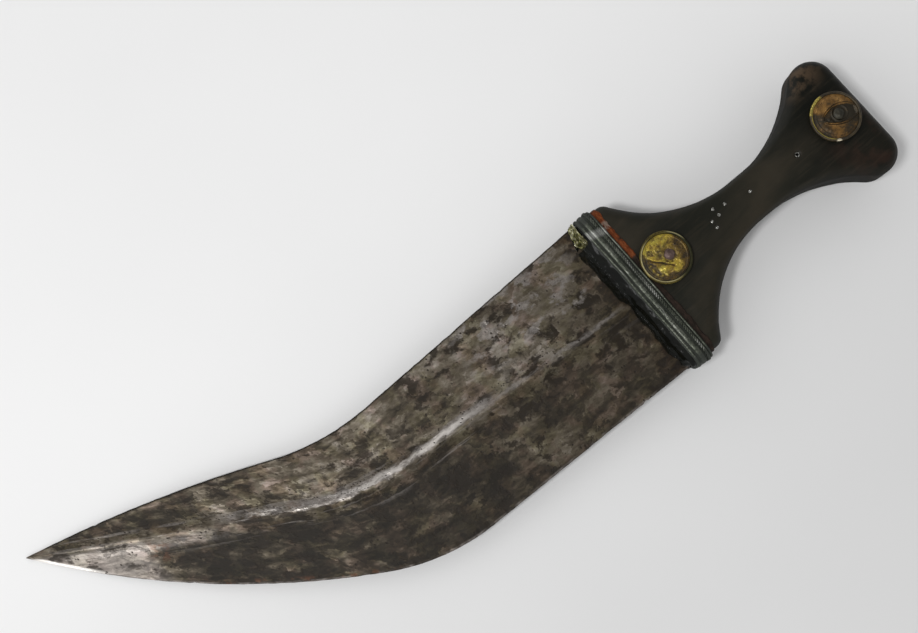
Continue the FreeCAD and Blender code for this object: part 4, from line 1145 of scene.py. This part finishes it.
def make_rivet(boss, material, seed, squarish):
    """A hammered rivet head over its straight shank."""
    shank_share = 0.76
    hammer_depth = 0.1
    middle, head, foot, top = round_node(boss + "_boss_rivet")
    seat = round_node(boss + "_boss_disc")[3]
    shank = head * shank_share
    rings = [(0.02, foot), (shank, foot), (shank, seat - 0.05), (head * 0.98, seat - 0.12),
             (head, seat + 0.12)]
    for angle in np.linspace(0.2, math.pi / 2 - 0.02, 12):
        rings.append((head * math.cos(angle) ** 0.8, seat + 0.1 + (top - seat - 0.1) * math.sin(angle)))
    rows, faces = turned(rings, middle, 72)
    offset = rows[:, :, :2] - middle
    turn = np.arctan2(offset[:, :, 1], offset[:, :, 0])
    over = smooth_step(rows[:, :, 2], seat - 0.1, seat + 0.1)
    bulge = 1 + over * (squarish * np.cos(4 * turn + 0.6) + 0.03 * noise(rows, 1.3, seed, 2))
    rows[:, :, :2] = middle + offset * bulge[:, :, None]
    rows[:, :, 2] += over * hammer_depth * noise(rows, 1.1, seed + 1, 2)
    dress(new_piece(boss + "_rivet_hammered", rows, faces, "copper", [boss + "_boss_rivet"]), material)


def old_brass(name, dark, middle, light, shift, marked):
    """Brass tarnished in spots; where marked, a value on the piece makes it darker or brighter: painted shade
    and painted highlights over the struck relief, and darker patches.
    """
    s = Shader(name)
    cloud = s.noise(4.2, 6.0, 0.65, shift=shift, twist=0.4)
    fine = s.noise(0.7, 4.0, 0.65, shift=shift)
    tone = s.plus(s.times(cloud, 0.65), s.times(fine, 0.35))
    if marked:
        # The value holds painted shade and painted highlights, with darker tarnish.
        push = s.times(s.minus(s.value("painted_light_and_tarnish"), 0.5), 0.42)
        tone = s.plus(tone, push)
    colour = s.ramp(tone, [(0.28, (0.022, 0.017, 0.009)), (0.4, dark), (0.52, middle), (0.7, light)])
    dirt = s.fade(s.noise(1.3, 5.0, 0.68, shift=shift), 0.55, 0.66)
    colour = s.lay(dirt, 0.7, colour, (0.02, 0.015, 0.008))
    rough = s.fade(tone, 0.3, 0.7, 0.52, 0.24)
    relief = s.bump(fine, 0.1)
    relief = s.bump(cloud, 0.15, relief)
    return s, colour, rough, relief


def lower_brass():
    """Olive-yellow plate, browner across one half."""
    s, colour, rough, relief = old_brass("yellow_brass", (0.085, 0.058, 0.01), (0.2, 0.15, 0.026),
                                         (0.43, 0.35, 0.05), (1, 2, 0), True)
    middle = float(round_node("lower_boss_disc")[0][0])
    brown = s.fade(s.minus(s.axis("X"), s.times(s.axis("Y"), 0.3)), middle - 3.0, middle + 5.0)
    cloud = s.fade(s.noise(3.0, 4.0, 0.6, shift=(3, 3, 0)), 0.4, 0.6)
    brown = s.times(s.most(brown, cloud), 0.65)
    colour = s.stain(brown, 1.0, colour, (0.92, 0.72, 0.62))
    return s.finish(colour, rough, 0.45, relief)


def ring_share(s, boss, turn, reach, soft):
    """How close a place on a boss is to one direction from its middle, in degrees."""
    middle, radius = round_node(boss)[:2]
    turn = math.radians(turn)
    spot = (float(middle[0]) + radius * math.cos(turn), float(middle[1]) + radius * math.sin(turn), 0.0)
    return s.spot(spot, reach, soft, (1, 1, 0))


def ring_line(s, boss, inward, width):
    """A thin circle a given distance in from a boss's outer edge."""
    middle, radius = round_node(boss)[:2]
    away = s.away((float(middle[0]), float(middle[1]), 0.0), (1, 1, 0))
    return s.band(away, radius - inward - width, radius - inward + width, width)


def lower_rim_brass():
    """Olive rim, dull on the far side, with painted highlight lines on its crest and a dark line inside it.
    """
    rim = "lower_boss_rim"
    s, colour, rough, relief = old_brass("olive_rim", (0.03, 0.024, 0.007), (0.078, 0.06, 0.013),
                                         (0.21, 0.165, 0.04), (2, 9, 0), False)
    far = ring_share(s, rim, -20, 11.5, 3.5)
    colour = s.lay(far, 0.88, colour, (0.018, 0.019, 0.009))
    # Painted highlights: the thin bright lines on the rim's crest.
    line = s.times(ring_line(s, rim, 0.75, 0.18), ring_share(s, rim, 185, 11.5, 3.0))
    pale = s.times(ring_line(s, rim, 0.45, 0.15), ring_share(s, rim, 28, 3.2, 1.5))
    colour = s.mix(s.most(s.times(line, 0.85), s.times(pale, 0.6)), colour, (0.5, 0.44, 0.23))
    colour = s.lay(ring_line(s, rim, 1.35, 0.22), 0.75, colour, (0.016, 0.014, 0.008))
    return s.finish(colour, s.blend(far, rough, 0.6), 0.5, relief, Specular_IOR_Level=0.2)


def upper_brass():
    """Browner, redder brass than the lower boss has."""
    s, colour, rough, relief = old_brass("orange_brass", (0.06, 0.034, 0.01), (0.165, 0.085, 0.022),
                                         (0.3, 0.165, 0.05), (8, 1, 3), True)
    return s.finish(colour, rough, 0.55, relief)


def gold_rim():
    """Dull dark rim: a length rubbed to gold, a bright thin line on one side, one painted glint."""
    rim = "upper_boss_rim"
    s, colour, _, relief = old_brass("bright_rim", (0.016, 0.012, 0.006), (0.04, 0.028, 0.012),
                                         (0.085, 0.06, 0.025), (4, 6, 0), False)
    beaded = s.fade(s.cells(0.75, shift=(6, 0, 0)), 0.25, 0.55, 1.0, 0.35)
    gold = s.times(ring_share(s, rim, 114, 4.0, 0.8), beaded)
    line = s.times(ring_line(s, rim, 0.85, 0.18), ring_share(s, rim, 183, 7.0, 1.6))
    # Painted highlight: a small bright glint on the rim.
    glint = ring_share(s, rim, 236, 0.8, 0.5)
    rubbed = s.most(gold, s.times(line, 0.55))
    colour = s.mix(rubbed, colour, (0.62, 0.5, 0.11))
    colour = s.mix(glint, colour, (0.9, 0.8, 0.6))
    rubbed = s.most(rubbed, glint)
    return s.finish(colour, s.blend(rubbed, 0.46, 0.22), s.blend(rubbed, 0.4, 0.9), relief)


def copper_finish(name, dark, light):
    """Dull copper in two tones."""
    s = Shader(name)
    cloud = s.noise(1.8, 4.0, 0.6)
    colour = s.ramp(cloud, [(0.36, dark), (0.62, light)])
    relief = s.bump(s.noise(0.7, 3.0, 0.6), 0.12)
    return s.finish(colour, 0.46, 0.55, relief)


def make_bosses():
    """Two bosses on the front face, each a cup, a struck disc and a rivet."""
    purple = copper_finish("purple_copper", (0.06, 0.036, 0.03), (0.125, 0.082, 0.07))
    dark = copper_finish("dark_copper", (0.016, 0.015, 0.01), (0.045, 0.04, 0.027))
    make_rim("lower", "lower_brass", lower_rim_brass(), 81)
    make_struck_disc("lower", "lower_brass", lower_brass(), lower_relief)
    make_rim("upper", "upper_brass", gold_rim(), 91)
    make_struck_disc("upper", "upper_brass", upper_brass(), upper_relief)
    make_rivet("lower", purple, 84, 0.05)
    make_rivet("upper", dark, 94, 0.02)


# ---------------------------------------------------------------- small nails

def make_pins():
    """Domed nail heads over their shanks, one per solid of the CAD group."""
    worn_share = 0.86
    head_rise = 0.45
    shank, chamfer = 0.38, 0.3
    points = node_points("grip_pins")
    shapes = []
    for group in loose_groups(frame["nodes"]["grip_pins"].data):
        part = points[group]
        low, high = part.min(axis=0), part.max(axis=0)
        head = (high[0] - low[0]) / 2 * worn_share
        seat = high[2] - head_rise
        rings = [(0.02, low[2]), (chamfer, low[2] + chamfer), (shank, seat), (head, seat + 0.03)]
        rings += arc_points((0.0, seat + 0.05), (head, 0.3), 0.15, math.pi / 2 - 0.02, 10)
        rows, faces = turned(rings, (low + high) / 2, 32)
        worn = smooth_step(rows[:, :, 2], seat - 0.05, seat + 0.05)
        rows[:, :, 2] += worn * 0.1 * noise(rows, 0.6, 101, 2)
        shapes.append((rows, faces))
    pins = new_piece("grip_nails", *join_shapes(shapes), "silver_pin", ["grip_pins"])
    dress(pins, silver())


def loose_groups(mesh):
    """Vertex indices of each separate solid in a mesh."""
    coords = np.round(read_vectors(mesh.vertices, "co"), 7)
    _, shared = np.unique(coords, axis=0, return_inverse=True)
    shared = shared.ravel()
    parent = list(range(shared.max() + 1))

    def root(index):
        while parent[index] != index:
            parent[index] = parent[parent[index]]
            index = parent[index]
        return index

    for edge in mesh.edges:
        first, second = (root(shared[index]) for index in edge.vertices)
        parent[first] = second
    groups = {}
    for index, key in enumerate(shared):
        groups.setdefault(root(key), []).append(index)
    return [np.array(group) for group in groups.values()]


def make_eyelet():
    """A tiny rolled tube."""
    bore_share = 0.55
    roll = 0.2
    middle, outer, base, top = round_node("grip_eyelet")
    inner = outer * bore_share
    shoulder = top - roll
    section = [(inner, base), (outer, base), (outer, shoulder)]
    section += arc_points(((outer + inner) / 2, shoulder), ((outer - inner) / 2, roll), 0.3, math.pi - 0.3, 7)
    section.append((inner, shoulder))
    rows = [[(middle[0] + radius * math.cos(turn), middle[1] + radius * math.sin(turn), height)
             for radius, height in section] for turn in circle(32)]
    dress(new_piece("grip_tube", *looped(rows), "silver_pin", ["grip_eyelet"]), silver())


def silver():
    """Small silver parts, dark in their pits."""
    s = Shader("small_silver")
    cloud = s.noise(0.55, 4.0, 0.6)
    colour = s.ramp(cloud, [(0.4, (0.035, 0.033, 0.028)), (0.5, (0.16, 0.155, 0.14)),
                            (0.62, (0.56, 0.56, 0.53))])
    return s.finish(colour, s.fade(cloud, 0.4, 0.6, 0.5, 0.22), 0.9, s.bump(cloud, 0.1))


def dress_cad_nodes():
    """The few CAD nodes that stay: leather pads under the bosses and the burrs at the back."""
    s = Shader("dark_pad", place=None)
    grain = s.noise(1.2, 5.0, 0.6)
    colour = s.ramp(grain, [(0.35, (0.012, 0.009, 0.007)), (0.65, (0.04, 0.028, 0.02))])
    pad = s.finish(colour, 0.75, 0.0, s.bump(grain, 0.15))
    s = Shader("filed_brass", place=None)
    file_mark = s.noise(0.9, 4.0, 0.6, (0.3, 2.5, 1), turn=0.5)
    colour = s.ramp(file_mark, [(0.35, (0.14, 0.105, 0.035)), (0.65, (0.39, 0.3, 0.12))])
    burr = s.finish(colour, 0.4, 0.85, s.bump(file_mark, 0.05))
    for boss in ("lower", "upper"):
        dress(frame["nodes"][boss + "_boss_backing"], pad)
        dress(frame["nodes"][boss + "_rivet_burr"], burr)


# ---------------------------------------------------------------- floor, light, camera

def make_floor():
    """A plain pale surface that the dagger lies on, with painted shade making it a little darker towards one
    side.
    """
    mesh = bpy.data.meshes.new("floor")
    reach = 3.0
    mesh.from_pydata([(-reach, -reach, 0), (reach, -reach, 0), (reach, reach, 0), (-reach, reach, 0)],
                     [], [(0, 1, 2, 3)])
    floor = bpy.data.objects.new("floor", mesh)
    bpy.context.collection.objects.link(floor)
    s = Shader("pale_board", place=None)
    cloud = s.noise(160.0, 3.0, 0.5)
    colour = s.ramp(cloud, [(0.3, (0.8, 0.8, 0.8)), (0.7, (0.83, 0.83, 0.83))])
    # Painted shade: the floor darkens towards one side, standing in for the light's falloff.
    colour = s.scaled(colour, s.fade(s.axis("Y"), -130.0, 90.0, 0.82, 1.0))
    dress(floor, s.finish(colour, 0.65, 0.0, s.bump(s.noise(3.0, 3.0, 0.5), 0.02)))


def add_area(name, spot, aim, size, power):
    """A square white lamp at a spot, aimed at a point."""
    data = bpy.data.lights.new(name, "AREA")
    data.shape = "RECTANGLE"
    data.size = size
    data.size_y = size
    data.energy = power
    light = bpy.data.objects.new(name, data)
    bpy.context.collection.objects.link(light)
    light.location = spot
    light.rotation_euler = (Vector(aim) - Vector(spot)).to_track_quat("-Z", "Y").to_euler()


def make_light():
    """Soft white room light, dim overhead and to one side, and one window-like source."""
    wall_height, ceiling_height = 0.55, 0.95
    wall_light, ceiling_light = 1.02, 0.3
    bright_side = (-0.94, 0.34, 0.0)
    dim_share, bright_share = 0.55, 1.25
    world = bpy.data.worlds.new("soft_room")
    bpy.context.scene.world = world
    world.use_nodes = True
    room = Nodes(world.node_tree)
    sky = world.node_tree.nodes["Background"]
    sky.inputs["Color"].default_value = (1.0, 1.0, 1.0, 1.0)
    way = room.node("ShaderNodeTexCoord").outputs["Generated"]
    height = room.node("ShaderNodeSeparateXYZ", {0: way}).outputs["Z"]
    level = room.fade(height, wall_height, ceiling_height, wall_light, ceiling_light)
    lean = room.node("ShaderNodeVectorMath", {0: way, 1: bright_side}, operation="DOT_PRODUCT")
    side = room.fade(lean.outputs["Value"], -1.0, 1.0, dim_share, bright_share, "LINEAR")
    room.put(sky.inputs["Strength"], room.times(level, side))
    add_area("window", (-0.5, 0.06, 1.15), (0, 0, 0), 0.17, 6.6)


def make_camera():
    """Looking down, 82 degrees above the horizon, turned so the hilt points up and right."""
    heading = math.radians(40.25)
    dip = math.radians(82.0)
    place = Vector((-0.03498, -0.03234, 0.47929))
    ahead = Vector((math.sin(heading), math.cos(heading), 0))
    right = Vector((math.cos(heading), -math.sin(heading), 0))
    look = ahead * math.cos(dip) - Vector((0, 0, math.sin(dip)))
    upward = right.cross(look)
    data = bpy.data.cameras.new("camera")
    data.lens = 50.0
    data.sensor_width = 36.0
    camera = bpy.data.objects.new("camera", data)
    bpy.context.collection.objects.link(camera)
    turn = Matrix((right, upward, -look)).transposed()
    camera.matrix_world = Matrix.Translation(place) @ turn.to_4x4()
    bpy.context.scene.camera = camera
    bpy.context.scene.view_settings.view_transform = "Standard"


make_camera()
make_floor()
make_light()
make_blade()
make_horn()
make_resin()
make_collar()
make_liner()
make_foil()
make_bosses()
make_pins()
make_eyelet()
dress_cad_nodes()
bpy.context.view_layer.update()
